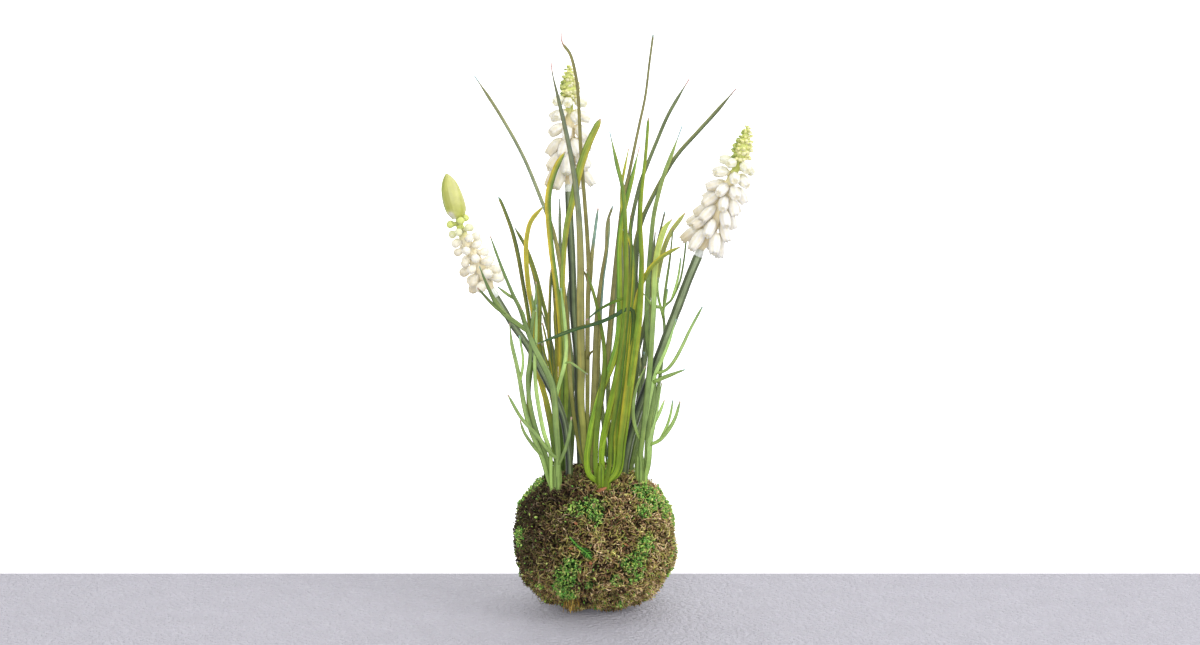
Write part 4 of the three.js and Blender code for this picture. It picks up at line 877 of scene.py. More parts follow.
# %% Group and material helpers
def new_group(name, inputs, outputs):
    """An empty node group with named sockets: name to hex colour or number."""
    tree = bpy.data.node_groups.new(name, "ShaderNodeTree")
    for label, value in inputs.items():
        kind = "NodeSocketColor" if isinstance(value, str) else "NodeSocketFloat"
        socket = tree.interface.new_socket(label, in_out="INPUT", socket_type=kind)
        put(tree, value, socket)
    for label, kind in outputs.items():
        tree.interface.new_socket(label, in_out="OUTPUT", socket_type="NodeSocket" + kind)
    start, end = tree.nodes.new("NodeGroupInput"), tree.nodes.new("NodeGroupOutput")
    return tree, start.outputs, end.inputs


def use_group(tree, group, **inputs):
    made = tree.nodes.new("ShaderNodeGroup")
    made.node_tree = group
    for label, value in inputs.items():
        put(tree, value, made.inputs[label.capitalize()])
    return made.outputs


def new_material(name, **constants):
    """A material and its Principled shader; the constants go straight on its sockets."""
    material = bpy.data.materials.new(name)
    material.use_nodes = True
    shader = material.node_tree.nodes["Principled BSDF"]
    for label, value in constants.items():
        shader.inputs[label.replace("_", " ").title().replace("Ior", "IOR")].default_value = value
    return material, material.node_tree, shader


def fill(tree, shader, colour, roughness=None, height=None, depth=0.0):
    """Colour, roughness and a bump of some depth in metres, linked to a shader."""
    tree.links.new(colour, shader.inputs["Base Color"])
    if roughness is not None:
        tree.links.new(roughness, shader.inputs["Roughness"])
    if height is not None:
        bump = node(tree, "Bump", {"Height": height, "Distance": depth, "Strength": 1.0})
        tree.links.new(bump.outputs[0], shader.inputs["Normal"])


print("helpers ready")

# %% [markdown]
# Moulded leaves share one effect, so it is a node group. The colour runs from root to
# tip, fine veins run along the blade, an edge may be yellow, and both edges are a little
# darker: a painted shade that parts neighbouring blades. The group reads the values that
# the mesh carries: how far along and across the blade, its chance, how light it is, how
# yellow, how near to its second hue, and where it thins out to a hair.

# %% The leaf group
leaf_group, given, out = new_group(
    "leaf_colour",
    dict(Root="#6FA04A", Body="#8DB56F", Tip="#7FA8A8", Second="#4E6E4A", Edge="#D8B63A", Veins=0.4),
    dict(Colour="Color", Roughness="Float", Height="Float"),
)
g = leaf_group
along, across, chance, light = (trait(g, name) for name in ("along", "across", "chance", "light"))


def blade_noise(across_scale, along_scale, chance_scale, detail):
    """Noise in the blade's own directions, another one on each blade."""
    place = node(g, "CombineXYZ", {
        0: sums(g, "MULTIPLY", across, across_scale),
        1: sums(g, "MULTIPLY", along, along_scale),
        2: sums(g, "MULTIPLY", chance, chance_scale),
    }).outputs[0]
    return node(g, "TexNoise", {"Vector": place, "Scale": 1.0, "Detail": detail}).outputs[0]


body = mixed(g, ranged(g, along, 0.02, 0.4), given["Root"], given["Body"])
body = mixed(g, trait(g, "hue"), body, given["Second"])
late = sums(g, "ADD", along, sums(g, "MULTIPLY", chance, 0.25))
body = mixed(g, ranged(g, late, 0.85, 1.25), body, given["Tip"])
patches = blade_noise(3.0, 9.0, 60.0, 3.0)
streaks = blade_noise(9.0, 4.0, 80.0, 2.0)
veins = sums(g, "MULTIPLY", ranged(g, streaks, 0.42, 0.66), given["Veins"])
body = mixed(g, veins, body, mixed(g, 1.0, body, "#A5A88C", "MULTIPLY"))
body = mixed(g, ranged(g, patches, 0.55, 0.75, 0.0, 0.35), body, given["Edge"])
# Painted shade: both edges of a blade, and the sides of a stem, are darkened.
edge_shade = ranged(g, sums(g, "ABSOLUTE", across), 0.7, 0.97, 0.0, 0.75)
body = mixed(g, edge_shade, body, mixed(g, 1.0, body, "#767E68", "MULTIPLY"))
body = node(g, "HueSaturation", {"Color": body, "Value": ranged(g, light, 0.0, 1.0, 0.6, 1.4)}).outputs[0]
edge = sums(g, "MULTIPLY", trait(g, "edge"), ranged(g, patches, 0.2, 0.5, 0.6, 1.0))
body = mixed(g, edge, body, given["Edge"])
hair = shades(g, chance, (0.0, "#C99B96"), (0.45, "#C99B96"), (0.55, "#8DB0B4"), (1.0, "#8DB0B4"))
body = mixed(g, trait(g, "hair"), body, hair)
g.links.new(body, out["Colour"])
g.links.new(ranged(g, streaks, 0.3, 0.8, 0.38, 0.6), out["Roughness"])
g.links.new(streaks, out["Height"])
print("leaf group has", len(g.nodes), "nodes")

# %% [markdown]
# Leaves, stems, florets and moss are all a bit blotchy. A second group lightens and
# darkens any colour by a noise that stands still in space, at a scale that each material
# chooses for itself.

# %% The blotch group
blotch_group, given, out = new_group(
    "blotches",
    dict(Colour="#808080", Scale=200.0, Amount=0.3, Detail=3.0),
    dict(Colour="Color", Mask="Float"),
)
g = blotch_group
spot = node(g, "TexCoord").outputs["Object"]
clouds = node(g, "TexNoise", {"Vector": spot, "Scale": given["Scale"], "Detail": given["Detail"]})
mask = ranged(g, clouds.outputs[0], 0.3, 0.7)
low = sums(g, "SUBTRACT", 1.0, given["Amount"])
high = sums(g, "ADD", 1.0, given["Amount"])
toned = node(g, "HueSaturation", {"Color": given["Colour"], "Value": ranged(g, mask, 0.0, 1.0, low, high)})
g.links.new(toned.outputs[0], out["Colour"])
g.links.new(mask, out["Mask"])


def blotched(tree, shader, colour, scale, amount, gloss, height=None, depth=0.0, detail=3.0):
    """A blotchy colour, with roughness between two values; a bump needs a depth."""
    toned = use_group(tree, blotch_group, colour=colour, scale=scale, amount=amount, detail=detail)
    roughness = ranged(tree, toned["Mask"], 0, 1, *gloss)
    if depth:
        height = height or toned["Mask"]
    fill(tree, shader, toned["Colour"], roughness, height, depth)


print("blotch group has", len(g.nodes), "nodes")

# %% [markdown]
# Five greens are enough for all the grass. Each is the leaf group with its own colours,
# then a touch of blotches. The flower stems are moulded in the same way, so they use it
# too. The collars are clear plastic over a pale stem: a glossy pale tone reads as that.

# %% Leaf and stem finishes
LEAF_BLOTCHES = 160.0
LEAF_BUMP = 0.00012


def leaf_material(name, root, body, tip, second, edge, veins):
    material, tree, shader = new_material(name, specular_ior_level=0.35)
    leaf = use_group(tree, leaf_group, root=root, body=body, tip=tip, second=second, edge=edge,
                     veins=veins)
    toned = use_group(tree, blotch_group, colour=leaf["Colour"], scale=LEAF_BLOTCHES, amount=0.12)
    fill(tree, shader, toned["Colour"], leaf["Roughness"], leaf["Height"], LEAF_BUMP)
    return material


LEAF_FINISH = dict(
    pale=leaf_material("pale_leaf", "#92B05C", "#9DBB70", "#8FB373", "#728C56", "#D0D668", 0.6),
    edged=leaf_material("edged_leaf", "#6E8F3A", "#708D42", "#728C48", "#5F6E48", "#D2BC3C", 0.5),
    fresh=leaf_material("fresh_leaf", "#84A61E", "#6A942E", "#6A9654", "#44703A", "#D3C436", 0.85),
    olive=leaf_material("olive_leaf", "#868942", "#8E8B57", "#868A60", "#74968C", "#C4AE50", 0.5),
    greyGreen=leaf_material("grey_leaf", "#748C4C", "#768660", "#747F6C", "#5F7F76", "#C4C046", 0.5),
)
# The stems' dark second colour is painted shade on their side away from the light.
STEM_FINISH = leaf_material("stem_skin", "#96A870", "#96A67E", "#A6B592", "#4E5A50", "#9AA676", 0.7)

COLLAR_FINISH, tree, shader = new_material("clear_collar", specular_ior_level=0.6)
blotched(tree, shader, "#DDE2DA", 700.0, 0.1, (0.18, 0.34))
print("leaf finishes:", ", ".join(LEAF_FINISH))

# %% [markdown]
# The florets are cream. Where they crowd together, deeper in the head, in their creases
# and inside their mouths, the colour is painted warmer: a painted shade, warm as light
# that passes through them. Subsurface light is kept shallow, and the mesh says how deep
# in the head each point lies. The lower florets on the shaded left get a painted tan
# shade at their ends, and the upper ones are tinted lime.

# %% Floret and bud finishes
FLORET_FINISH, tree, shader = new_material(
    "floret_cream", specular_ior_level=0.4, subsurface_weight=0.7, subsurface_scale=0.003,
    subsurface_radius=(1.0, 0.97, 0.85))
# Painted shade: the cream warms with depth in the head.
cream = shades(tree, trait(tree, "depth"),
               (0.0, "#ECEAE6"), (0.4, "#F0EBD8"), (0.75, "#F1E6C8"), (1.0, "#F0DEB0"))
# Painted shade in tan on the lower ends of florets that face the shaded left.
cream = mixed(tree, trait(tree, "tan"), cream, "#D0C09A")
cream = mixed(tree, trait(tree, "lime"), cream, "#C9D372")
fine = use_group(tree, blotch_group, scale=2600.0)
blotched(tree, shader, cream, 420.0, 0.05, (0.42, 0.58), fine["Mask"], 0.00006)

TIP_FINISH, tree, shader = new_material(
    "lime_beads", specular_ior_level=0.4, subsurface_weight=0.3, subsurface_scale=0.0015,
    subsurface_radius=(1.0, 1.0, 0.4))
lime = shades(tree, trait(tree, "tone"),
              (0.0, "#80984A"), (0.3, "#C4CA78"), (0.6, "#E1DF9E"), (1.0, "#EEEBD2"))
lime = mixed(tree, trait(tree, "depth"), lime, "#CDD67C")
blotched(tree, shader, lime, 500.0, 0.1, (0.4, 0.55))

BUD_FINISH, tree, shader = new_material("lime_bud", specular_ior_level=0.45)
lime = shades(tree, trait(tree, "tone"),
              (0.0, "#74943A"), (0.4, "#B4BA56"), (0.75, "#C8C87E"), (1.0, "#DEDCC6"))
blotched(tree, shader, lime, 260.0, 0.07, (0.38, 0.5), trait(tree, "vein"), 0.00008)
print("floret finishes ready")

# %% [markdown]
# Dried moss is many colours at once: dark peat between the strands, brown and tan
# strands, and fresh green leaflets in patches. Each strand carries its own chance, which
# picks its colour from a row of moss colours. It gets paler towards its free end, partly a
# painted highlight; darker where it lies low, a painted shade; and greyer and darker
# towards the ball's upper left, also a painted shade.

# %% Moss, peat and bark finishes
def strand_material(name, stops, tip, deep="#5E564A"):
    material, tree, shader = new_material(name, specular_ior_level=0.2)
    colour = shades(tree, trait(tree, "chance"), *stops)
    # Paler tips, partly a painted highlight.
    colour = mixed(tree, ranged(tree, trait(tree, "along"), 0.4, 1.0, 0.0, 0.5), colour, tip)
    # Painted shade where the strand lies low.
    dark = mixed(tree, 1.0, colour, deep, "MULTIPLY")
    colour = mixed(tree, ranged(tree, trait(tree, "lift"), 0.05, 0.85), dark, colour)
    # Painted shade, greyer, towards the ball's upper left.
    colour = mixed(tree, trait(tree, "old"), colour, mixed(tree, 1.0, colour, "#80828A", "MULTIPLY"))
    blotched(tree, shader, colour, 900.0, 0.25, (0.75, 0.95))
    return material


BROWN_STRANDS = strand_material("brown_moss", [
    (0.0, "#36261C"), (0.18, "#664630"), (0.38, "#9A724E"), (0.55, "#A8905A"), (0.75, "#D6B27C"),
    (1.0, "#FFE2B4")],
    "#FADEB2")
OLIVE_STRANDS = strand_material("olive_moss", [
    (0.0, "#443F20"), (0.25, "#746F35"), (0.5, "#A09A4A"), (0.75, "#D0CA64"), (1.0, "#F6EC98")],
    "#ECE694")
GREEN_LEAFLETS = strand_material("green_moss", [
    (0.0, "#22602A"), (0.25, "#4A9436"), (0.55, "#80C04E"), (0.8, "#B2D45E"), (1.0, "#EEF092")],
    "#CEEA8E", "#26331C")
GOLDEN_STRANDS = strand_material("golden_moss", [
    (0.0, "#6E5422"), (0.3, "#9C7A34"), (0.6, "#C8A24C"), (1.0, "#F4DC88")],
    "#ECD282")

PEAT_FINISH, tree, shader = new_material("dark_peat", specular_ior_level=0.15)
toned = use_group(tree, blotch_group, colour="#3A2B1C", scale=520.0, amount=0.5, detail=6.0)
lumps = use_group(tree, blotch_group, scale=1400.0, detail=6.0)
green = mixed(tree, trait(tree, "green"), toned["Colour"], "#28401A")
fill(tree, shader, green, ranged(tree, toned["Mask"], 0, 1, 0.8, 1.0), lumps["Mask"], 0.0006)

SOIL_FINISH, tree, shader = new_material("soil", specular_ior_level=0.15)
blotched(tree, shader, "#2E2118", 380.0, 0.5, (0.85, 1.0), depth=0.0008, detail=6.0)
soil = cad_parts["soil_ball"]
soil.data.materials.clear()
soil.data.materials.append(SOIL_FINISH)

BARK_FINISH, tree, shader = new_material("red_bark", specular_ior_level=0.2)
blotched(tree, shader, "#A06848", 900.0, 0.3, (0.7, 0.9), depth=0.0003, detail=5.0)
print("moss finishes ready")

# %% [markdown]
# ## The grass
#
# A moulded blade isn't a flat ribbon. Its front has a shallow channel, its back a soft
# keel, and its edges are round. Ten points in each ring are enough for that. Most blades
# stay wide until shortly before their tip: pointed, blunt, or drawn out to a hair.

# %% The outline of a blade
# For each kind of tip: its length in blade widths, how pointed it is, the hair's length,
# and the share of width that the blade loses on its whole way up.
TIPS = dict(
    point=(4.8, 0.75, 0.0, 0.32),
    blunt=(0.9, 0.5, 0.0, 0.5),
    thin=(2.5, 0.6, 0.0, 0.62),
    drawn=(5.5, 0.65, 4.0, 0.5),
    twig=(3.0, 0.55, 0.0, 0.25),
    stub=(0.7, 0.5, 5.0, 0.3),
    whip=(4.0, 0.7, 6.5, 0.2),
    hair=(5.0, 0.7, 3.0, 0.18),
    lance=(2.4, 0.6, 0.0, 0.2),
    round=(1.4, 0.5, 0.0, 0.1),
)
HAIR_WIDTH = 0.55
SWOLLEN_AT, SWOLLEN_FOR = 0.86, 0.17  # where a blade swells and how far, in shares of its length
TWIG_WIDER = 1.3


def drawn_width(item, t, length):
    """The blade's width, and how much of a hair it is, at some shares of its length."""
    tip, power, hair, loss = TIPS[item["tip"]]
    left = length * (1 - t) - hair
    rise = np.minimum(1, 0.8 + 0.8 * t)
    full = rise * (1 - loss * smooth_step(t, 0.35, 1.0))
    full = full * (1 + item["swell"] * np.exp(-(((t - SWOLLEN_AT) / SWOLLEN_FOR) ** 2)))
    end = np.clip(left / (tip * item["wide"]), 0, 1) ** power
    return np.maximum(HAIR_WIDTH, item["wide"] * full * end), smooth_step(-left, -1.5, 0.5)


print(len(TIPS), "kinds of tip")

# %% [markdown]
# In the CAD all blades of a bunch pass through one narrow foot. The real ones stand side
# by side in it, like ribs of a fan, so each one starts a little to the side that it is
# going to lean to. A twig is carried along with its stalk.

# %% The fan at the foot
FAN_SHARE = 0.42
FAN_REACH = 2.6
FAN_HEIGHT = 24.0
FAN_FLATNESS = 0.6  # the fan is this much narrower from front to back


def fanned(route, t):
    """How far a route's blade stands aside at t: an offset in x and y."""
    way = np.atleast_1d(t) * route["curve"].length
    if route["joint"]:
        aside = fanned(route["joint"]["route"], route["joint"]["t"])[0]
        fade = 1 - smooth_step(way, 0, FAN_HEIGHT)
    else:
        ahead = min(1.0, FAN_HEIGHT / route["curve"].length)
        start, later = middle_line(route, np.array([0.0, ahead]))
        aside = np.clip(FAN_SHARE * (later - start), -FAN_REACH, FAN_REACH) * [1, FAN_FLATNESS, 0]
        fade = 1 - smooth_step(way, 1.0, FAN_HEIGHT)
    return fade[:, None] * aside


print("the first blade's foot stands aside by", fanned(routes[0], 0.0)[0].round(2).tolist())

# %% [markdown]
# A ring of a blade is a flattened circle, pressed in along the middle of its front. How
# light a blade is and how yellow its edges are is written down where the photo shows it,
# and chance fills in the rest.

# %% Blades with a channel
RING_STEP = 1.8
RING_POINTS = 10
FOOT_DEPTH = 5.0  # how deep the blades reach into the moss
FOOT_RINGS = np.array([3, 2, 1]) / 3
TURN_SHOWN = 0.5  # the blades turn half as much as their solids, and show their width
CHANNEL_WIDTH, CHANNEL_DEPTH, KEEL = 0.45, 0.8, 0.25
FLATNESS, THINNEST, THICKEST, HAIR_THICKNESS = 0.34, 0.24, 0.85, 0.5
YELLOW_FROM = 0.08  # an edge turns yellow from here on, where nothing else is written down
RING_X = np.cos(circle_of(RING_POINTS))
RING_FRONT = np.sin(circle_of(RING_POINTS))
channel = np.exp(-((RING_X / CHANNEL_WIDTH) ** 2))
GROOVED = RING_FRONT - np.where(RING_FRONT > 0.01, CHANNEL_DEPTH, KEEL) * channel


def add_blade(shape, route, lay, twist, chance, edges, groove, wider, lighter):
    item, length = route["item"], route["curve"].length
    t = np.linspace(0, 1, max(10, round(length / RING_STEP)))
    middle = middle_line(route, t) + fanned(route, t)
    if not route["joint"]:
        down = FOOT_RINGS[:, None] * [[0, 0, -FOOT_DEPTH]]
        middle, t = np.vstack([middle[0] + down, middle]), np.concatenate([[0, 0, 0], t])
    width, hair = drawn_width(item, t, length)
    width = width * mix(*wider, smooth_step(t, 0.3, 0.75))
    width = width * (TWIG_WIDER if item["tip"] == "twig" else 1.0)
    thickness = np.maximum(np.clip(FLATNESS * width, THINNEST, THICKEST), HAIR_THICKNESS * hair)
    along = unit(np.gradient(middle, axis=0))
    front = unit(TOWARDS_US + along[:, 1:2] * along)
    across = np.cross(along, front)
    turn = TURN_SHOWN * (lay + twist * t)[:, None]
    front, across = (front * np.cos(turn) - across * np.sin(turn),
                     across * np.cos(turn) + front * np.sin(turn))
    outline = mix(RING_FRONT, GROOVED, groove)
    rings = middle[:, None] + across[:, None] * (RING_X * width[:, None] / 2)[..., None]
    rings = rings + front[:, None] * (outline * thickness[:, None] / 2)[..., None]
    left, right, *later = edges
    begin = later[0] if later else YELLOW_FROM
    yellow = left * smooth_step(-RING_X, -0.3, 0.8) + right * smooth_step(RING_X, -0.3, 0.8)
    yellow = yellow[None] * smooth_step(t, begin, begin + 0.27)[:, None]
    light = mix(0.15, 0.8, chance) + lighter if item["light"] is None else item["light"]
    if isinstance(light, tuple):
        light = mix(*light, smooth_step(t, 0.35, 0.8))[:, None]
    shape.skin(rings, along=t[:, None], across=RING_X[None], chance=chance, light=light,
               edge=yellow, hue=item["hue"] * smooth_step(t, 0.54, 0.66)[:, None], hair=hair[:, None])


print("the channel is", round(CHANNEL_DEPTH / 2, 2), "of a blade's thickness deep")

# %% [markdown]
# Under the blades there is a short core, squeezed flat and ribbed, which closes the gaps
# between them just above the moss.

# %% The bunches
# For each finish: its slot, how yellow one edge is, how deep the channel, how much wider a
# blade is shown than written down, below and above, and how far the core is drawn up.
BUNCHES = dict(
    pale=("pale_grass", 0.1, 0.6, (1.1, 1.1), 1.6),
    edged=("edged_grass", 0.45, 1.0, (1.1, 1.1), 1.0),
    fresh=("fresh_grass", 0.25, 1.0, (1.36, 1.0), 1.1),
    olive=("olive_grass", 0.2, 0.8, (1.2, 1.1), 1.0),
    greyGreen=("grey_grass", 0.15, 0.8, (1.25, 1.25), 1.0),
)
LIGHTER = dict(right_front_sprig=0.42)  # this bunch is drawn a little paler
CORE = [(-6, 1.3), (-1, 1.7), (2, 1.6), (5, 1.3), (8, 0.8), (9.5, 0.2)]  # (height, radius)
CORE_STRETCH = (1.25, 1.75)  # below and above
CORE_RINGS, CORE_SIDES, CORE_RIBS = 22, 40, 8


def add_core(shape, base, drawn_up):
    rise = np.linspace(CORE[0][0], CORE[-1][0], CORE_RINGS)
    stretch = mix(*CORE_STRETCH, smooth_step(rise, 0.0, 7.0))[:, None]
    turn = circle_of(CORE_SIDES)
    ribs = flow(CORE, rise)[:, None] * (1 + 0.1 * np.cos(turn * CORE_RIBS))[None]
    rings = rod_rings(base + rise[:, None] * np.array([0, 0, drawn_up]), ribs, CORE_SIDES)
    rings[..., 0] = base[0] + (rings[..., 0] - base[0]) * stretch
    shape.skin(rings, along=0.0, across=np.cos(turn * 4)[None], chance=0.45, light=0.4,
               edge=0.0, hue=0.0, hair=0.0)


chance_draw = seeded(77)
for sprig in SPRIGS:
    slot, yellow, groove, wider, drawn_up = BUNCHES[sprig["finish"]]
    shape, lighter = Shape(), LIGHTER.get(sprig["name"], 0.0)
    for route in sprig["routes"]:
        lay = mix(-0.6, 0.6, blade_draw())
        twist = mix(-0.5, 0.5, blade_draw())
        chance, most = chance_draw(), yellow * 2 * chance_draw()
        edges = (most, 0.0) if chance < 0.5 else (0.0, most)
        edges = route["item"]["edges"] or edges
        chance = chance if route["item"]["chance"] is None else route["item"]["chance"]
        add_blade(shape, route, lay, twist, chance, edges, groove, wider, lighter)
    add_core(shape, sprig["base"], drawn_up)
    make_piece(sprig["name"] + "_blades", shape, LEAF_FINISH[sprig["finish"]], slot, sprig["name"])

# %% [markdown]
# ## The flowers
#
# A flower stem is a soft tube with fine ribs, and ends in a clear collar that holds the
# head. Rings are enough for it, with the ribs as a wave round each ring. The stems of
# the two open flowers are thicker than the bare rods in the CAD.

# %% Stems and collars
STEM_SIDES = 30
STEM_RIBS = 10
STEM_STEP = 2.0
# Painted shade: each stem is painted darker on its side away from the light; the left and right stems more
# so below, the back one more so above.
SHADED_SIDE = 2.6  # the ribs are painted darker on one side, at this angle round the stem
SIDE_SHADE = dict(left=(1.0, 0.35), back=(0.6, 1.0), right=(1.0, 0.15))  # below and above
STEM_SHARE = dict(left=1.0, back=1.12, right=1.28)  # thicker than the solid's bare rod
COLLAR = [(0, 1.75), (0.2, 2.0), (0.75, 1.95), (1, 1.5)]  # (share of its length, radius)
COLLAR_SPAN = (-1.0, 3.8)  # from below the stem's end to above it
for flower in FLOWERS:
    side, curve = flower["side"], flower["stem_curve"]
    t = np.linspace(0, 1, round(curve.length / STEM_STEP))
    middle = curve.at(t)
    turn = circle_of(STEM_SIDES)
    ribs = 1 + 0.035 * np.cos(turn * STEM_RIBS)
    radius = STEM_RADIUS * STEM_SHARE[side] * (1 + 0.02 * np.sin(t * 40) + 0.015 * np.sin(t * 97))
    rings = rod_rings(middle, radius[:, None] * ribs[None], STEM_SIDES)
    # Painted shade on one side of the stem, carried as hue to the stem's dark second colour.
    dark = smooth_step(np.cos(turn - SHADED_SIDE), 0.1, 0.95)
    side_shade = mix(*SIDE_SHADE[side], smooth_step(t, 0.45, 0.75))
    shape = Shape()
    shape.skin(rings, along=t[:, None], across=2.0 * np.cos(turn)[None], chance=0.35, light=0.5,
               edge=0.0, hue=dark[None] * side_shade[:, None], hair=0.0)
    make_piece(side + "_stem_skin", shape, STEM_FINISH, "flower_stem", side + "_flower_stem")
    way = unit(flower["head_curve"].at(0.0)[0] - middle[-1])
    t = np.linspace(0, 1, 14)
    places = middle[-1] + mix(*COLLAR_SPAN, t)[:, None] * way
    shape = Shape()
    shape.skin(rod_rings(places, flow(COLLAR, t), 24))
    make_piece(side + "_collar", shape, COLLAR_FINISH, "flower_stem")

# %% [markdown]
# Open florets are bells: a barrel with six faint flutes, drawn in at a lobed mouth.
# Closed ones are knobs: a ball on a short neck. Each stands out on its own little stalk
# and then hangs over, so its axis is bent. The shapes are (height, radius) pairs, outside
# first and then down inside the mouth, so that the mouth is really hollow.

# %% One floret
LAWS = dict(
    bells=dict(
        shape=[(0, 0.13), (0.1, 0.13), (0.18, 0.2), (0.28, 0.35), (0.4, 0.46), (0.55, 0.5),
               (0.7, 0.5), (0.8, 0.47), (0.88, 0.43), (0.95, 0.41), (0.99, 0.385), (1, 0.33)],
        mouth=[(0.985, 0.24), (0.965, 0.12), (0.96, 0.02)],
        span=(0.22, 0.97), hang=(1.02, 0.25), lengths=(14.4, 7.6), widths=(5.4, 4.8),
        rooted=1.6, sides=24, flutes=0.085, lobes=0.06, cream=0.0, limed=0.2),
    knobs=dict(
        shape=[(0, 0.25), (0.15, 0.23), (0.3, 0.26), (0.42, 0.34), (0.52, 0.43), (0.64, 0.495),
               (0.77, 0.49), (0.88, 0.4), (0.96, 0.22), (1, 0.03)],
        mouth=[], span=(0.14, 0.97), hang=(0.4, -0.25), lengths=(10.4, 5.8), widths=(5.0, 3.6),
        rooted=0.8, sides=16, flutes=0.02, lobes=0.0, cream=0.12, limed=0.95),
)
PETALS = 6
PROFILE_STEPS = 14


def add_floret(shape, law, start, out, along, hang, length, width, lime, tan, turn):
    heights = np.linspace(0, 1, PROFILE_STEPS)
    radii = flow(law["shape"], heights)
    heights = np.concatenate([heights, [h for h, _ in law["mouth"]]])
    radii = np.concatenate([radii, [r for _, r in law["mouth"]]])
    lean = mix(-0.2, hang, smooth_step(heights, 0.06, 0.46))
    side = np.cross(out, along)
    ways = out * np.cos(lean)[:, None] - along * np.sin(lean)[:, None]
    steps = np.diff(heights, prepend=0.0)[:, None] * length * ways
    middle = start + np.cumsum(steps, axis=0)
    angle = circle_of(law["sides"])
    waves = np.cos(PETALS * (angle + turn))
    full = smooth_step(heights, 0.2, 0.5)[:, None]
    fluted = radii[:, None] * width * (1 + law["flutes"] * waves[None] * full)
    around = (side * np.cos(angle)[None, :, None]
              + np.cross(ways, side)[:, None] * np.sin(angle)[None, :, None])
    lip = smooth_step(heights, 0.93, 1.0)[:, None] * waves[None] * law["lobes"] * width
    rings = middle[:, None] + around * fluted[..., None] + ways[:, None] * lip[..., None]
    inside = np.arange(len(heights)) >= PROFILE_STEPS
    # Painted shade: deeper in the head and inside the mouth, plus the knobs' own creamier tone.
    deep = law["cream"] + np.where(inside, 0.35, 0.9 * smooth_step(-heights, -0.5, -0.05))
    # Painted shade in the creases between the flutes.
    creases = 0.16 * (1 - waves)[None] * full
    # Painted shade at the lower ends of florets that face left.
    painted_shade_ends = tan * smooth_step(heights, 0.35, 0.9)[:, None]
    shape.skin(rings, depth=np.minimum(1, deep[:, None] + creases), lime=lime, tan=painted_shade_ends)


print(len(LAWS), "kinds of floret")

# %% [markdown]
# A head is tiers of florets round a slim middle. Each tier is turned by half a step
# against the one below it, and the upper florets are shorter and hang less.

# %% The heads
FLORETS_AROUND = dict(left=5, back=6, right=6)
RACHIS = [(0, 1.5), (0.12, 2.8), (0.6, 2.9), (1, 1.5)]
NEARBY = 0.02  # the share of a curve over which its direction is measured
UNEVEN = 0.34


def side_frame(curve, t):
    """The direction of a curve at t and two directions across it: left, and towards us."""
    along = unit(curve.at(min(t + NEARBY, 1.0))[0] - curve.at(max(t - NEARBY, 0.0))[0])
    left = unit(np.cross(TOWARDS_US, along))
    return along, left, np.cross(along, left)


for flower in FLOWERS:
    law, curve = LAWS[flower["kind"]], flower["head_curve"]
    draw = seeded(flower["root"][0] + 40)
    shape = Shape()
    t = np.linspace(0, 1, 24)
    # The middle is painted in the warm shade colour of the deepest gaps.
    shape.skin(rod_rings(curve.at(t), flow(RACHIS, t), 14), depth=0.85,
               lime=smooth_step(t, 0.7, 0.95)[:, None], tan=0.0)
    florets = FLORETS_AROUND[flower["side"]]
    for tier in range(flower["tiers"]):
        rise = tier / (flower["tiers"] - 1)
        t = mix(*law["span"], rise)
        along, left, near = side_frame(curve, t)
        for k in range(florets):
            angle = (k + (tier % 2) / 2 + UNEVEN * (draw() - 0.5)) / florets * 2 * math.pi
            out = left * math.cos(angle) + near * math.sin(angle)
            hang = mix(*law["hang"], rise**1.3) + UNEVEN * (draw() - 0.5)
            length = mix(*law["lengths"], rise) * mix(0.9, 1.06, draw())
            width = mix(*law["widths"], rise) * mix(0.92, 1.06, draw())
            start = curve.at(t + 0.02 * (draw() - 0.5))[0] + out * law["rooted"]
            lime = smooth_step(rise, 0.7, 1.05) * law["limed"]
            # Painted shade: florets that face left, away from the light, and sit low in the head.
            tan = 0.7 * max(0.0, math.cos(angle)) ** 1.5 * (1 - rise) ** 0.8
            add_floret(shape, law, start, out, along, hang, length, width, lime, tan, draw() * 6)
    make_piece(flower["side"] + "_" + flower["kind"], shape, FLORET_FINISH, "floret",
               flower["side"] + "_floret_head")

# %% [markdown]
# The unopened tops are beads in close rings on a small cone, painted darker green as
# shade on the side away from the light. The left flower ends in one smooth bud instead:
# petals folded into a point, with a seam between each pair.

# %% Beaded tips
CONE = [(0, 2.5), (0.18, 3.6), (0.5, 2.7), (0.82, 1.2), (1, 0.2)]
BEAD_RINGS = 10
BEADS_AROUND = (12, 5)  # below and above
BEAD_SHAPE = (1.4, 0.95, 0.85)  # how far a bead reaches outwards and to its two sides
TIP_SIZE = dict(back=0.96, right=1.0)
POLE = 0.12  # the bead's first and last rings are this far from its ends


def bead_mesh(rows, sides):
    """A small ball of rings with its axis along X: points and faces."""
    shape = Shape()
    lean = np.linspace(POLE, math.pi - POLE, rows)
    places = np.stack([-np.cos(lean), 0 * lean, 0 * lean], 1)
    ring = circle_of(sides)
    circle = np.stack([0 * ring, np.cos(ring), np.sin(ring)], 1)
    shape.skin(places[:, None] + circle[None] * np.sin(lean)[:, None, None])
    return np.vstack(shape.points), shape.faces


bead_points, bead_faces = bead_mesh(6, 8)


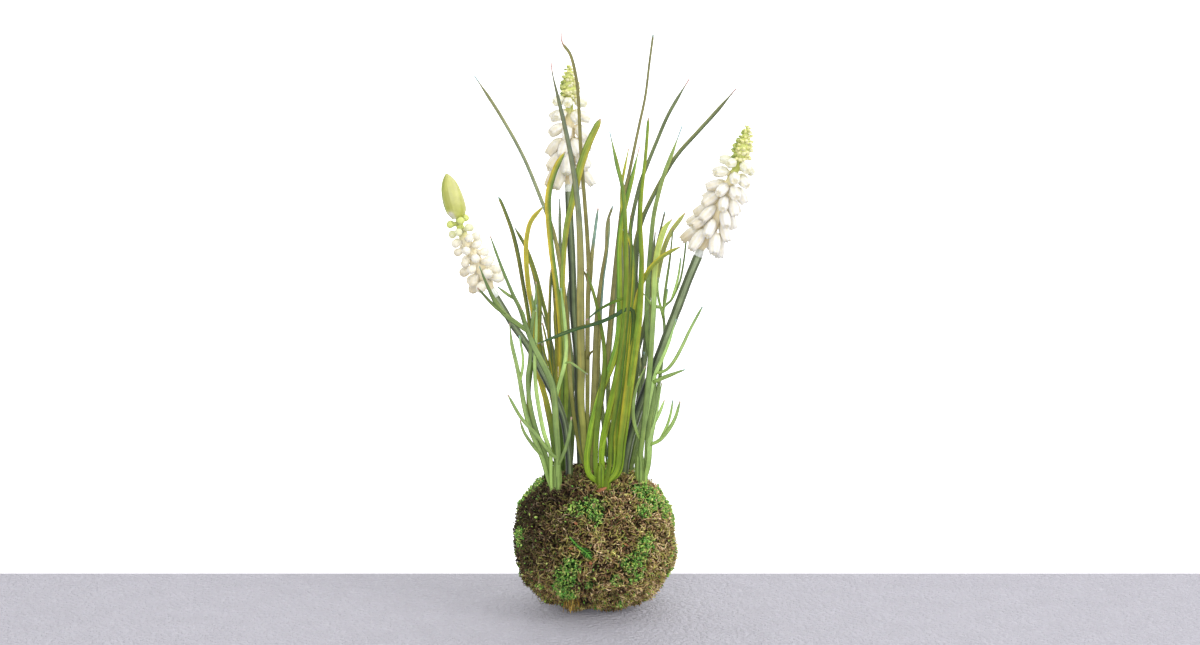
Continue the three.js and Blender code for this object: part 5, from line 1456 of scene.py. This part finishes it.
def add_beads(shape, curve, size, draw):
    t = np.linspace(0, 1, 16)
    shape.skin(rod_rings(curve.at(t), flow(CONE, t) * size, 12), tone=0.35, depth=0.6)
    frames, origins, tones = [], [], []
    for ring in range(BEAD_RINGS):
        rise = ring / (BEAD_RINGS - 1)
        t = mix(0.03, 0.93, rise)
        along, left, near = side_frame(curve, t)
        beads = round(mix(*BEADS_AROUND, rise**1.3))
        for k in range(beads):
            bead = mix(1.2, 0.62, rise) * size * mix(0.85, 1.1, draw())
            angle = (k + (ring % 2) / 2 + 0.3 * (draw() - 0.5)) / beads * 2 * math.pi
            out = left * math.cos(angle) + near * math.sin(angle)
            out = unit(out + along * mix(-0.15, 0.55, draw()))
            side = unit(np.cross(along, out))
            axes = np.stack([out, side, np.cross(out, side)]) * np.array(BEAD_SHAPE)[:, None]
            frames.append(axes * bead)
            lift = flow(CONE, t) * size + mix(0.1, 0.9, draw())
            origins.append(curve.at(t + 0.03 * (draw() - 0.5))[0] + out * lift)
            # Painted shade on the beads that face left, away from the light.
            shaded = 0.6 * max(0.0, math.cos(angle)) ** 2
            tones.append(np.clip(0.68 - shaded + 0.3 * (draw() - 0.5), 0, 1))
    near_core = np.clip(-bead_points[:, 0], 0, 1) * 0.6
    shape.copies(bead_points, bead_faces, np.array(frames), np.array(origins),
                 tone=np.array(tones), depth=np.tile(near_core, (len(frames), 1)))


print("a bead has", len(bead_points), "points")

# %% [markdown]
# The bud is one skin. Its seams are narrow dents that wind round it, and the paint is
# lighter on one patch near the top and darker along one side. Its right front carries a
# painted light that fades round to the back.

# %% The bud
BUD = [(0, 3.0), (0.1, 4.4), (0.3, 5.1), (0.55, 4.75), (0.75, 3.8), (0.9, 2.2), (0.97, 1.0), (1, 0.3)]
BUD_SHIFT = np.array([0.8, 0.0, 0.6])
BUD_RINGS, BUD_SIDES, BUD_VEINS = 40, 36, 18
BUD_SEAMS = 3
SEAM_WIND, SEAM_WIDTH = 0.9, 0.06


def around_at(turn, middle, width):
    """A soft stripe along the bud: 1 at one angle, fading to both sides."""
    return np.exp(-(((turn - middle) / width) ** 2))


def add_bud(shape, curve):
    t = np.linspace(0, 1, BUD_RINGS)[:, None]
    turn = circle_of(BUD_SIDES)[None]
    from_seam = np.abs(((turn + SEAM_WIND * t) / (2 * math.pi / BUD_SEAMS)) % 1 - 0.5)
    seam = np.exp(-((from_seam / SEAM_WIDTH) ** 2))
    rings = rod_rings(curve.at(t[:, 0]) + BUD_SHIFT, flow(BUD, t) * (1 - 0.04 * seam), BUD_SIDES)
    # Painted light and shade: lighter towards the right front, darker round the back.
    lit = 0.5 + 0.28 * np.cos(turn - 0.5)
    patch = around_at(turn, 2.3, 0.55) * smooth_step(-t, -0.28, -0.12)
    shaded = 0.5 * around_at(turn, 3.6, 0.4)
    foot = 0.2 * smooth_step(-t, -0.4, -0.1)
    tone = np.clip(lit - shaded - 0.2 * seam - foot + 0.9 * patch, 0, 1)
    veins = 0.5 + 0.5 * np.cos(turn * BUD_VEINS) * np.ones((BUD_RINGS, 1))
    shape.skin(rings, tone=tone, vein=veins * (1 - seam))


for flower in FLOWERS:
    shape, side = Shape(), flower["side"]
    if flower["kind"] == "bells":
        add_beads(shape, flower["top_curve"], TIP_SIZE[side], seeded(70 + FLOWERS.index(flower)))
        make_piece(side + "_green_tip_top", shape, TIP_FINISH, "green_bud", side + "_green_tip")
    else:
        add_bud(shape, flower["top_curve"])
        make_piece(side + "_green_bud_top", shape, BUD_FINISH, "green_bud", side + "_green_bud")

# %% [markdown]
# ## The moss
#
# The ball is a bed of dark peat with moss laid on it. Painting moss on a smooth ball
# never convinces at the outline, so the strands are real: thousands of thin, curly
# threads that start in the bed, run along it and lift a little at their ends. Green
# leaflets stand in patches. First the bed: the ball's own form, roughened by noise.

# %% Green patches and mounds
SWELL = -1.5  # the strands' middle level above the solid's surface
FRONT_ROUNDING = 8.0  # the lower front and back are rounder than the solid by this much
MEAN_RADIUS, REAR_RADIUS = 38.0, 37.0  # the ball's, for turning millimetres into angles
MOUND_SIZE = 0.2  # radians
GREEN_PATCHES = [  # (x, height, radius) in mm, as seen from the front
    (21, 58, 5), (26, 54, 7), (33, 50, 6), (24, 47, 4), (-9, 49, 5), (-2, 50, 5.5), (0, 45, 4.5),
    (25, 31, 5.5), (22, 25, 6), (17, 22, 5), (20, 15, 4), (-12, 20, 5), (-14, 14.5, 6.5), (-13, 7, 6),
    (-18, 10, 3.5), (-36, 35, 5), (-28, 62, 4.5), (-26.5, 10.5, 2.2), (35, 18, 3.5), (37, 30, 3.5),
    (-3, 10, 2.5), (37, 43, 4), (10, 14, 3), (11, 3, 3),
]
REAR_PATCHES = [  # (degrees round from the front, height, radius) for the sides and back
    (100, 50, 9), (125, 20, 10), (155, 44, 11), (180, 22, 8), (205, 56, 9), (235, 30, 11),
    (258, 52, 8), (262, 22, 7), (98, 26, 6), (225, 46, 6), (170, 64, 8), (215, 10, 7),
]
MOUNDS = [(-19, 57, 3.4), (3, 62, 2.2), (24, 59, 2.2)]  # (x, height, rise) of moss at the front feet


def rounding(ways):
    """How much further in than the solid the moss lies, low at the front and back."""
    return FRONT_ROUNDING * ways[:, 1] ** 2 * smooth_step(-ways[:, 2], 0.3, 0.8)


def ball_way(x, height):
    """The direction, from the ball's middle, of the point that is seen at x and height."""
    depths = np.linspace(-45.0, 0.0, 181)
    sight = seen_at(x, height, depths) - BALL_CENTRE
    ways = unit(sight)
    outside = np.linalg.norm(sight, axis=1) - ball_reach(ways) - SWELL + rounding(ways)
    hit = int(np.argmax(outside < 0)) if outside.min() < 0 else int(outside.argmin())
    return ways[hit]


patch_ways = [ball_way(x, height) for x, height, _ in GREEN_PATCHES]
for degrees, height, _ in REAR_PATCHES:
    above = height - BALL_MIDDLE
    level = math.sqrt(max(1.0, REAR_RADIUS**2 - above**2))
    angle = math.radians(degrees)
    patch_ways.append(unit(np.array([level * math.sin(angle), -level * math.cos(angle), above])))
patch_ways = np.array(patch_ways)
patch_sizes = np.array([radius for _, _, radius in GREEN_PATCHES + REAR_PATCHES]) / MEAN_RADIUS
mound_ways = np.array([ball_way(x, height) for x, height, _ in MOUNDS])
mound_heights = np.array([rise for _, _, rise in MOUNDS])
print(len(patch_ways), "green patches and", len(MOUNDS), "mounds")

# %% [markdown]
# Nothing about moss is even, so noise decides where it clumps, which way its strands are
# combed and how ragged a green patch is. It is read on the ball itself, without a seam.

# %% Noise on the ball
COMBING = 3  # Blender's noise vectors move with each start, unless they get a seed
noise.seed_set(COMBING)


def rough(points, scale, octaves=3):
    """Cloudy noise at some points, about -1 to 1."""
    return np.array([noise.fractal(Vector(p * scale), 0.6, 2.0, octaves) for p in points])


def combed(ways):
    """A direction along the ball that changes slowly from place to place."""
    field = np.array([noise.noise_vector(Vector(way * 4.5)) for way in ways])
    return unit(np.cross(ways, field))


def clumps(ways):
    """How far the moss stands out in clumps and falls back between them, in mm."""
    return 0.8 * rough(ways, 5.0, 2) + 0.5 * rough(ways + 7.0, 12.0, 2)


def moss_surface(ways, lift=0.0):
    """Points on the moss in some directions, lifted by some millimetres."""
    angles = np.arccos(np.clip(ways @ mound_ways.T, -1, 1))
    mounds = (mound_heights * np.exp(-((angles / MOUND_SIZE) ** 2))).max(1)
    return on_ball(ways, SWELL - rounding(ways) + lift + mounds)


def greenness(ways, ragged):
    """From 0 in brown moss to 1 inside a green patch; ragged breaks up the patch edges."""
    angles = np.arccos(np.clip(ways @ patch_ways.T, -1, 1))
    inside = 1.0 - (angles / patch_sizes).min(1)
    return smooth_step(inside + ragged, -0.12, 0.25)


print("the moss is", round(float(moss_surface(np.array([[0.0, 0.0, 1.0]]))[0, 2]), 1), "mm high")

# %% [markdown]
# The bed is one skin of rings from the top of the ball to its flat spot, with a second
# skin inside it, so that it is as thick as the moss of the CAD.

# %% The bed of peat
COLUMNS, ROWS = 240, 130
BED_DEPTH = 1.0  # under the strands' middle level
lean = np.linspace(0.0, math.pi, ROWS)[1:-1, None]
turn = circle_of(COLUMNS)
grid = np.stack([np.sin(lean) * np.cos(turn), np.sin(lean) * np.sin(turn), np.cos(lean) + 0 * turn], -1)
ways = grid.reshape(-1, 3)
lumps = clumps(ways) + 0.35 * rough(ways, 30.0, 2)
outer = moss_surface(ways, lumps - BED_DEPTH)
outer[:, 2] = np.maximum(outer[:, 2], 0.0)
inner = BALL_CENTRE + ways * ball_reach(ways, MOSS_THICKNESS)[:, None]
inner[:, 2] = np.maximum(inner[:, 2], MOSS_THICKNESS)
bed_green = greenness(ways, 0.25 * rough(ways, 7.0))
bed = Shape()
bed.skin(outer.reshape(grid.shape), green=bed_green.reshape(grid.shape[:2]))
bed.skin(inner.reshape(grid.shape)[::3, ::4], inside_out=True, green=0.0)
make_piece("moss_bed", bed, PEAT_FINISH, "moss", "moss_cover")

# %% [markdown]
# A strand is a walk on the ball: it keeps its heading, turns a little more at each step,
# and follows a low arc above the bed. All strands of one colour are walked together, one
# step at a time, which is quick with arrays.

# %% Walks on the ball
SPREAD_DOWN = 1.93  # of 2: no strand starts on the flat spot
LEAST_HEIGHT = 0.25


def scattered(count, draw):
    """Directions spread evenly over the ball, but not under its flat spot."""
    z = 1 - SPREAD_DOWN * draw.random(count)
    around = draw.random(count) * 2 * math.pi
    level = np.sqrt(1 - z * z)
    return np.stack([level * np.cos(around), level * np.sin(around), z], 1)


def chosen(count, keep, ragged, scale, draw):
    """Scattered directions, kept by chance where keep(green) allows them."""
    ways = scattered(count, draw)
    green = greenness(ways, ragged * rough(ways, scale))
    return ways[draw.random(count) < keep(green)]


def walked(ways, heading, base_lift, length, curl, lift, steps, crinkle, draw):
    """The places that curly walks pass, (steps + 1, n, 3)."""
    places, step = [], (length / steps)[:, None]
    for k in range(steps + 1):
        rise = k / steps
        arc = base_lift + lift * np.sin(math.pi * rise * mix(0.75, 1.0, rise)) - 0.5 * (k == 0)
        arc = arc + 0.25 * draw.normal(size=len(ways))
        places.append(moss_surface(ways, arc))
        ways = unit(ways * MEAN_RADIUS + heading * step)
        side = np.cross(ways, heading)
        bend = (curl / steps + crinkle * draw.normal(size=len(ways)))[:, None]
        heading = unit(heading * np.cos(bend) + side * np.sin(bend))
        heading = unit(heading - (heading * ways).sum(1, keepdims=True) * ways)
    places = np.array(places)
    places[..., 2] = np.maximum(places[..., 2], LEAST_HEIGHT)
    return places


print("walks stay at least", LEAST_HEIGHT, "mm above the table")

# %% [markdown]
# Round each walk goes a thread, thick near its start and thin at its end. With three
# sides and a few steps it is cheap and still catches the light like a real one.

# %% Threads round the walks
THREAD_SIDES = 3
TAPER = [(0, 0.7), (0.3, 1.0), (0.75, 0.85), (1.0, 0.35)]


def add_threads(shape, places, radius, draw, **values):
    """Threads round walks (m, n, 3); a value is given for each thread and place (n, m)."""
    m, n = places.shape[:2]
    along = unit(np.gradient(places, axis=0))
    front = unit(np.cross(along, draw.normal(size=(n, 3))))
    across = np.cross(along, front)
    thin = profile(TAPER, np.linspace(0, 1, m))[:, None] * radius[None]
    corner = circle_of(THREAD_SIDES)[:, None]
    rings = places[:, :, None] + thin[..., None, None] * (
        across[:, :, None] * np.cos(corner) + front[:, :, None] * np.sin(corner))
    rings[..., 2] = np.maximum(rings[..., 2], 0.0)
    points = rings.transpose(1, 0, 2, 3).reshape(-1, 3)
    i, j = np.meshgrid(np.arange(m - 1), np.arange(THREAD_SIDES), indexing="ij")
    a, b = i * THREAD_SIDES + j, i * THREAD_SIDES + (j + 1) % THREAD_SIDES
    quads = np.stack([a, a + THREAD_SIDES, b + THREAD_SIDES, b], -1).reshape(-1, 4)
    low = np.arange(THREAD_SIDES)
    caps = np.array([low, (THREAD_SIDES * m - 1) - low])
    shifts = (np.arange(n) * m * THREAD_SIDES)[:, None, None]
    faces = [(quads[None] + shifts).reshape(-1, 4), (caps[None] + shifts).reshape(-1, THREAD_SIDES)]
    spread = {key: np.repeat(np.broadcast_to(value, (n, m)).reshape(-1), THREAD_SIDES)
              for key, value in values.items()}
    shape.add(points, faces, **spread)


print("a thread of five places has", 4 * THREAD_SIDES * 2 + 2, "triangles")

# %% [markdown]
# Four kinds make the brown moss: long brown strands, short tan chips, olive strands and
# a few strays that stand off. Clumps share their tone; the right side is painted paler as
# painted light, and the upper left darker as painted shade.

# %% Strands of moss
LIFT_SHOWN = 2.6  # from the lowest to the lightest places of the moss, in mm


def strands(name, material, seed, count, keep, lengths, curls, lifts, radii, steps, crinkle):
    """Curly threads that start where keep(green) allows them."""
    draw = np.random.default_rng(seed)
    ways = chosen(count, keep, 0.25, 7.0, draw)
    n = len(ways)
    length = mix(*lengths, draw.random(n) ** 1.5)
    curl = mix(*curls, draw.random(n)) * np.where(draw.random(n) < 0.5, -1, 1)
    lift = mix(*lifts, draw.random(n) ** 2)
    radius = mix(*radii, draw.random(n))
    heading = unit(np.cross(ways, draw.normal(size=(n, 3))))
    heading = unit(combed(ways) * np.where(draw.random(n) < 0.5, -1, 1)[:, None] + 0.4 * heading)
    base_lift = clumps(ways) + 0.35 * draw.normal(size=n)
    tufted = 0.35 * rough(ways + 3.0, 3.5, 2) + 0.5 * rough(ways + 5.0, 11.0, 2)
    # Painted light: the moss is drawn paler towards the right side.
    sunny = smooth_step(ways[:, 0], 0.0, 0.8)
    chance = np.clip(0.45 + 0.2 * sunny + 0.8 * tufted + 0.26 * draw.normal(size=n), 0, 1)
    # Painted shade towards the ball's upper left, under the sprigs.
    old = smooth_step(0.5 * ways[:, 2] - ways[:, 0] + 0.3 * rough(ways, 4.0, 2), 0.1, 1.1)
    places = walked(ways, heading, base_lift, length, curl, lift, steps, crinkle, draw)
    heights = np.linalg.norm(places - BALL_CENTRE, axis=2).T
    floor_places = moss_surface(unit(places[0] - BALL_CENTRE))
    floor_level = np.linalg.norm(floor_places - BALL_CENTRE, axis=1)
    # How high a place lies, for the painted shade in the low places.
    lifted = np.clip((heights - floor_level[:, None] + 0.9) / LIFT_SHOWN, 0, 1)
    shape = Shape()
    add_threads(shape, places, radius, draw, along=np.linspace(0, 1, steps + 1),
                chance=chance[:, None], lift=lifted, old=old[:, None])
    make_piece(name, shape, material, "moss", "moss_cover")


strands("brown_moss_strands", BROWN_STRANDS, 21, 7600, lambda green: 1 - 0.88 * green,
        lengths=(2.0, 7.0), curls=(0.2, 1.8), lifts=(0.2, 1.5), radii=(0.15, 0.3), steps=4, crinkle=0.3)
strands("tan_moss_chips", BROWN_STRANDS, 23, 12500, lambda green: 1 - 0.9 * green,
        lengths=(0.8, 2.8), curls=(0.1, 1.0), lifts=(0.5, 2.2), radii=(0.16, 0.36), steps=2, crinkle=0.3)
strands("olive_moss_strands", OLIVE_STRANDS, 22, 7600, lambda green: 0.8 - 0.5 * green,
        lengths=(1.5, 6.0), curls=(0.3, 2.5), lifts=(0.3, 2.0), radii=(0.14, 0.28), steps=4, crinkle=0.35)
strands("stray_moss_strands", OLIVE_STRANDS, 24, 700, lambda green: 1 - 0.8 * green,
        lengths=(3.0, 8.0), curls=(0.5, 3.0), lifts=(1.0, 3.2), radii=(0.12, 0.2), steps=6, crinkle=0.3)

# %% [markdown]
# The green moss is made of tiny pointed leaflets. Each is a stretched eight-sided grain
# that leans away from the surface, and they stand thickly where a patch is and hardly
# anywhere else.

# %% Green leaflets
GRAIN = np.array([[1, 0, 0], [-1, 0, 0], [0, 1, 0], [0, -1, 0], [0, 0, 1], [0, 0, -1.0]])
GRAIN_FACES = [np.array([[0, 2, 4], [2, 1, 4], [1, 3, 4], [3, 0, 4], [2, 0, 5], [1, 2, 5],
                         [3, 1, 5], [0, 3, 5]])]
GRAIN_SHAPE = (0.5, 0.28, 1.0)  # a leaflet's width, thickness and length, for its size
draw = np.random.default_rng(31)
ways = chosen(75000, lambda green: 0.035 + 0.9 * green, 0.45, 9.0, draw)
n = len(ways)
lift = clumps(ways) - 0.3 + 0.7 * rough(ways + 2.0, 22.0, 2) + 2.0 * draw.random(n) ** 1.2
lean_way = unit(ways * 0.8 + draw.normal(size=(n, 3)) * 0.6)
side = unit(np.cross(lean_way, draw.normal(size=(n, 3))))
third = np.cross(lean_way, side)
sizes = mix(0.35, 1.15, draw.random(n) ** 1.6)
grain = sizes[:, None] * GRAIN_SHAPE
frames = np.stack([side, third, lean_way], 1) * grain[:, :, None]
origins = moss_surface(ways, lift)
origins[:, 2] = np.maximum(origins[:, 2], 0.8)
shown_lift = np.clip((lift - clumps(ways) + 0.7) / LIFT_SHOWN, 0, 1)
leaflets = Shape()
leaflets.copies(GRAIN, GRAIN_FACES, frames, origins, along=np.tile((GRAIN[:, 2] + 1) / 2, (n, 1)),
                chance=draw.random(n), lift=shown_lift, old=0.0)
make_piece("green_moss_leaflets", leaflets, GREEN_LEAFLETS, "moss", "moss_cover")

# %% [markdown]
# A few single things catch the eye on the real ball: flakes of red bark, a scrap of
# fern, a dark rootlet in a loop, golden moss that hangs down to the table and a drop of
# clear glue at a foot. They are what makes moss look gathered instead of printed, so
# each one is laid one by one. First the helpers that lay things where they are seen.

# %% Laying things on the moss
def laid(x, height, lift):
    """The point that is seen at x and height, some millimetres above the moss."""
    return moss_surface(ball_way(x, height)[None], lift)[0]


def laid_line(seen, lift, count):
    curve = Curve(np.array([laid(x, height, lift) for x, height in seen]))
    return curve.at(np.linspace(0, 1, count))


def ribbon(middle, widths, thickness):
    """Rings of a flat strip that lies on the ball, six points round."""
    along = unit(np.gradient(middle, axis=0))
    out = unit(middle - BALL_CENTRE)
    across = unit(np.cross(along, out))
    corner = np.arange(6) * math.pi / 3
    wide = across[:, None] * (np.cos(corner)[None, :, None] * widths[:, None, None] / 2)
    thick = out[:, None] * (np.sin(corner)[None, :, None] * thickness / 2)
    return middle[:, None] + wide + thick


print("the middle of the ball is seen on the moss at", laid(0, 34, 0.0).round(1).tolist())

# %% [markdown]
# A flake of bark is a short flat strip that narrows to one end.

# %% Bark flakes
BARK_LIFT, BARK_THICKNESS, BARK_RINGS = 1.5, 0.7, 6
BARK_FLAKES = [  # (x, height), (x, height), width
    ((0.8, 56.4), (5.6, 58.2), 1.9), ((13.2, 31.6), (15.0, 30.6), 1.0), ((-9.6, 41.6), (-8.2, 40.6), 1.2),
    ((-12.0, 29.6), (-10.4, 28.8), 1.1), ((-2.8, 22.6), (-1.4, 21.2), 1.3),
]
flakes = Shape()
for start, end, wide in BARK_FLAKES:
    outline = [(0, 0.4 * wide), (0.3, wide), (0.8, 0.8 * wide), (1, 0.2)]
    widths = flow(outline, np.linspace(0, 1, BARK_RINGS))
    flakes.skin(ribbon(laid_line([start, end], BARK_LIFT, BARK_RINGS), widths, BARK_THICKNESS))
make_piece("bark_flakes", flakes, BARK_FINISH, "moss")

# %% [markdown]
# The fern has a rib and a row of leaflets on each side, longest past its middle. They
# are the same flat strips, only tiny.

# %% The fern scrap
FERN = [(-11.6, 34.8), (-8.4, 30.8), (-5.8, 28.6), (-3.6, 26.6), (-1.6, 24.0)]
FERN_REACH = [(0, 0.7), (0.3, 1.1), (0.45, 1.2), (0.62, 2.7), (0.8, 2.2), (1, 0.5)]
FERN_PLACES = 24
FERN_LEAFLET = np.array([0.3, 0.42, 0.36, 0.12])  # its widths
fern = Shape()
rib = laid_line(FERN, 2.0, FERN_PLACES)
fern.skin(ribbon(rib, np.full(FERN_PLACES, 0.5), 0.5), along=0.0, chance=0.45, lift=0.7, old=0.0)
out = unit(rib - BALL_CENTRE)
ahead = unit(np.gradient(rib, axis=0))
for k in range(1, FERN_PLACES - 1):
    for hand in (-1, 1):
        reach = flow(FERN_REACH, k / (FERN_PLACES - 1))
        way = unit(np.cross(out[k], ahead[k]) * hand + 0.7 * ahead[k] + (0.1 + 0.2 * (k % 2)) * out[k])
        leaflet = rib[k] + np.linspace(0, 1, len(FERN_LEAFLET))[:, None] * way * reach
        fern.skin(ribbon(leaflet, FERN_LEAFLET, 0.35), along=0.0, chance=0.06 + 0.16 * (k % 3),
                  lift=mix(0.3, 0.9, k % 2), old=0.1)
make_piece("fern_scrap", fern, GREEN_LEAFLETS, "moss")

# %% [markdown]
# Rootlets are thin round rods. One of them loops up beside the stem on the left.

# %% Rootlets
ROOTLETS = [  # the places they are seen at, and a radius
    ([(-11.0, 66.0), (-9.5, 69.0), (-6.5, 69.5), (-4.5, 67.0), (-6.5, 65.0)], 0.24),
    ([(-31.0, 50.0), (-29.5, 45.0), (-30.5, 40.0), (-29.0, 35.0)], 0.24),
    ([(-24.0, 42.0), (-22.5, 36.0), (-23.5, 30.0), (-21.0, 25.0)], 0.22),
]
ROOTLET_LIFT, ROOTLET_RINGS = 2.4, 26
rootlets = Shape()
for seen, radius in ROOTLETS:
    middle = laid_line(seen, ROOTLET_LIFT, ROOTLET_RINGS)
    rings = rod_rings(middle, np.full(ROOTLET_RINGS, radius), 6)
    rootlets.skin(rings, along=0.3, chance=0.12, lift=0.6, old=0.5)
make_piece("loose_rootlets", rootlets, BROWN_STRANDS, "moss")

# %% [markdown]
# The golden tuft is a loose fringe of thin strands, each from its own root on the ball
# to its own end on the table.

# %% The golden tuft
TUFT = (-12.0, 2.6)
TUFT_STRANDS, TUFT_RINGS = 24, 8
tuft, tuft_draw = Shape(), seeded(9)
share = np.linspace(0, 1, TUFT_RINGS)
for _ in range(TUFT_STRANDS):
    x = TUFT[0] + mix(-3.2, 4.6, tuft_draw())
    root = laid(x, TUFT[1] + mix(-0.6, 2.6, tuft_draw()), 0.3)
    reach = seen_at(x + mix(-1.4, 1.4, tuft_draw()), mix(-3.6, 0.2, tuft_draw()), root[1] - 1.5)
    halfway = (root + reach) / 2 + [0.8 * (tuft_draw() - 0.5), -0.8, 0.6]
    line = Curve(np.array([root, halfway, reach])).at(share)
    line[:, 2] = np.maximum(line[:, 2], 0.4)
    rings = rod_rings(line, np.linspace(0.2, 0.13, TUFT_RINGS), 4)
    tuft.skin(rings, along=0.6 * share[:, None], chance=0.1 + 0.7 * tuft_draw(),
              lift=mix(0.1, 0.9, tuft_draw()), old=0.0)
make_piece("golden_tuft", tuft, GOLDEN_STRANDS, "moss")

# %% [markdown]
# A drop of clear glue sits where a stem was stuck in. It takes the collars' finish.

# %% The glue drop
GLUE_DROP = (-11.6, 64.6)
GLUE_HEIGHT = 1.6
GLUE_SHAPE = [(0, 1.0), (0.4, 1.1), (0.8, 0.7), (1, 0.1)]
drop = Shape()
rise = np.linspace(0, 1, 8)
centre = laid(*GLUE_DROP, 1.2)
up = unit(centre - BALL_CENTRE)
drop.skin(rod_rings(centre + rise[:, None] * up * GLUE_HEIGHT, flow(GLUE_SHAPE, rise), 12))
make_piece("glue_drop", drop, COLLAR_FINISH, "moss")

# %% [markdown]
# ## Table, light and measures
#
# The plant stands near the back edge of a pale table with a finely rolled surface, in
# front of bright white. The paint also glows faintly: a painted light that brightens the
# whole top evenly, also the shadow under the ball.

# %% The table
TABLE_BACK = 66.5
TABLE_SIDE = 1500.0
TABLE_FRONT = -1600.0
TABLE_EDGE = [(-40.0, 0.0), (-1.2, 0.0), (-0.35, 0.35), (0.0, 1.2)]  # (height, inset)


def scenery(name, points, faces, material):
    """An object that stands round the plant; the points are in millimetres."""
    mesh = bpy.data.meshes.new(name)
    mesh.from_pydata((np.asarray(points) * MM).tolist(), [], faces)
    mesh.materials.append(material)
    return in_scene(name, mesh)


corners = [(-TABLE_SIDE, TABLE_FRONT), (TABLE_SIDE, TABLE_FRONT), (TABLE_SIDE, TABLE_BACK),
           (-TABLE_SIDE, TABLE_BACK)]
shape = Shape()
shape.skin(np.array([
    [(x - np.sign(x) * inset, y - np.sign(y) * inset, z) for x, y in corners]
    for z, inset in TABLE_EDGE
]))
# Painted light: the table top glows faintly in its own colour.
TABLE_FINISH, tree, shader = new_material("rolled_paint", specular_ior_level=0.3, emission_strength=0.18)
toned = use_group(tree, blotch_group, colour="#ACAAB3", scale=60.0, amount=0.02)
rolled = use_group(tree, blotch_group, scale=420.0, detail=5.0)
fill(tree, shader, toned["Colour"], ranged(tree, rolled["Mask"], 0, 1, 0.6, 0.75), rolled["Mask"], 0.0011)
tree.links.new(toned["Colour"], shader.inputs["Emission Color"])
faces = [f.tolist() for block in shape.faces for f in block]
table_top = scenery("table_top", np.vstack(shape.points), faces, TABLE_FINISH)
print("the table ends", TABLE_BACK, "mm behind the plant's middle")

# %% [markdown]
# The photo's background is pure white, brighter than the light on the plant. A glowing
# wall far behind the table does that, and the room round about is a little darker.

# %% The glowing wall
WALL_BACK = 2200.0
WALL_SIDE = 4000.0
WALL_FOOT, WALL_TOP = -1600.0, 3000.0
WALL_FINISH, tree, shader = new_material("white_wall", emission_strength=1.05)
toned = use_group(tree, blotch_group, colour="#FFFFFF", scale=1.0, amount=0.0)
fill(tree, shader, toned["Colour"])
tree.links.new(toned["Colour"], shader.inputs["Emission Color"])
corners = [(-WALL_SIDE, WALL_BACK, WALL_FOOT), (WALL_SIDE, WALL_BACK, WALL_FOOT),
           (WALL_SIDE, WALL_BACK, WALL_TOP), (-WALL_SIDE, WALL_BACK, WALL_TOP)]
white_wall = scenery("white_wall", corners, [(0, 1, 2, 3)], WALL_FINISH)
print("the wall is", round((WALL_TOP - WALL_FOOT) * MM, 2), "m high")

# %% [markdown]
# One large soft light from the right and above gives the shapes their soft shade on the
# left. A weaker one lights them from the front, a faint one from above, and the white
# surroundings fill the rest. The plain view transform keeps white white.

# %% Light
ROOM_STRENGTH = 0.66


def soft_light(name, place, aim, size, power):
    """A round area light; places and size in metres, power in watts."""
    data = bpy.data.lights.new(name, "AREA")
    data.shape, data.size, data.energy = "DISK", size, power
    lamp = in_scene(name, data)
    lamp.location = Vector(place)
    lamp.rotation_euler = (Vector(aim) - Vector(place)).to_track_quat("-Z", "Y").to_euler()


soft_light("right_softbox", (1.6, -0.88, 1.15), (0, 0, 0.12), 1.1, 18.5)
soft_light("front_fill", (-0.2, -1.3, 0.6), (0, 0, 0.0), 0.8, 9.0)
soft_light("top_light", (0.25, 0.1, 1.3), (0, 0, 0.1), 0.8, 2.5)

world = bpy.data.worlds.new("white_room")
world.use_nodes = True
background = world.node_tree.nodes["Background"]
background.inputs["Color"].default_value = (1, 1, 1, 1)
background.inputs["Strength"].default_value = ROOM_STRENGTH
bpy.context.scene.world = world
bpy.context.scene.view_settings.view_transform = "Standard"
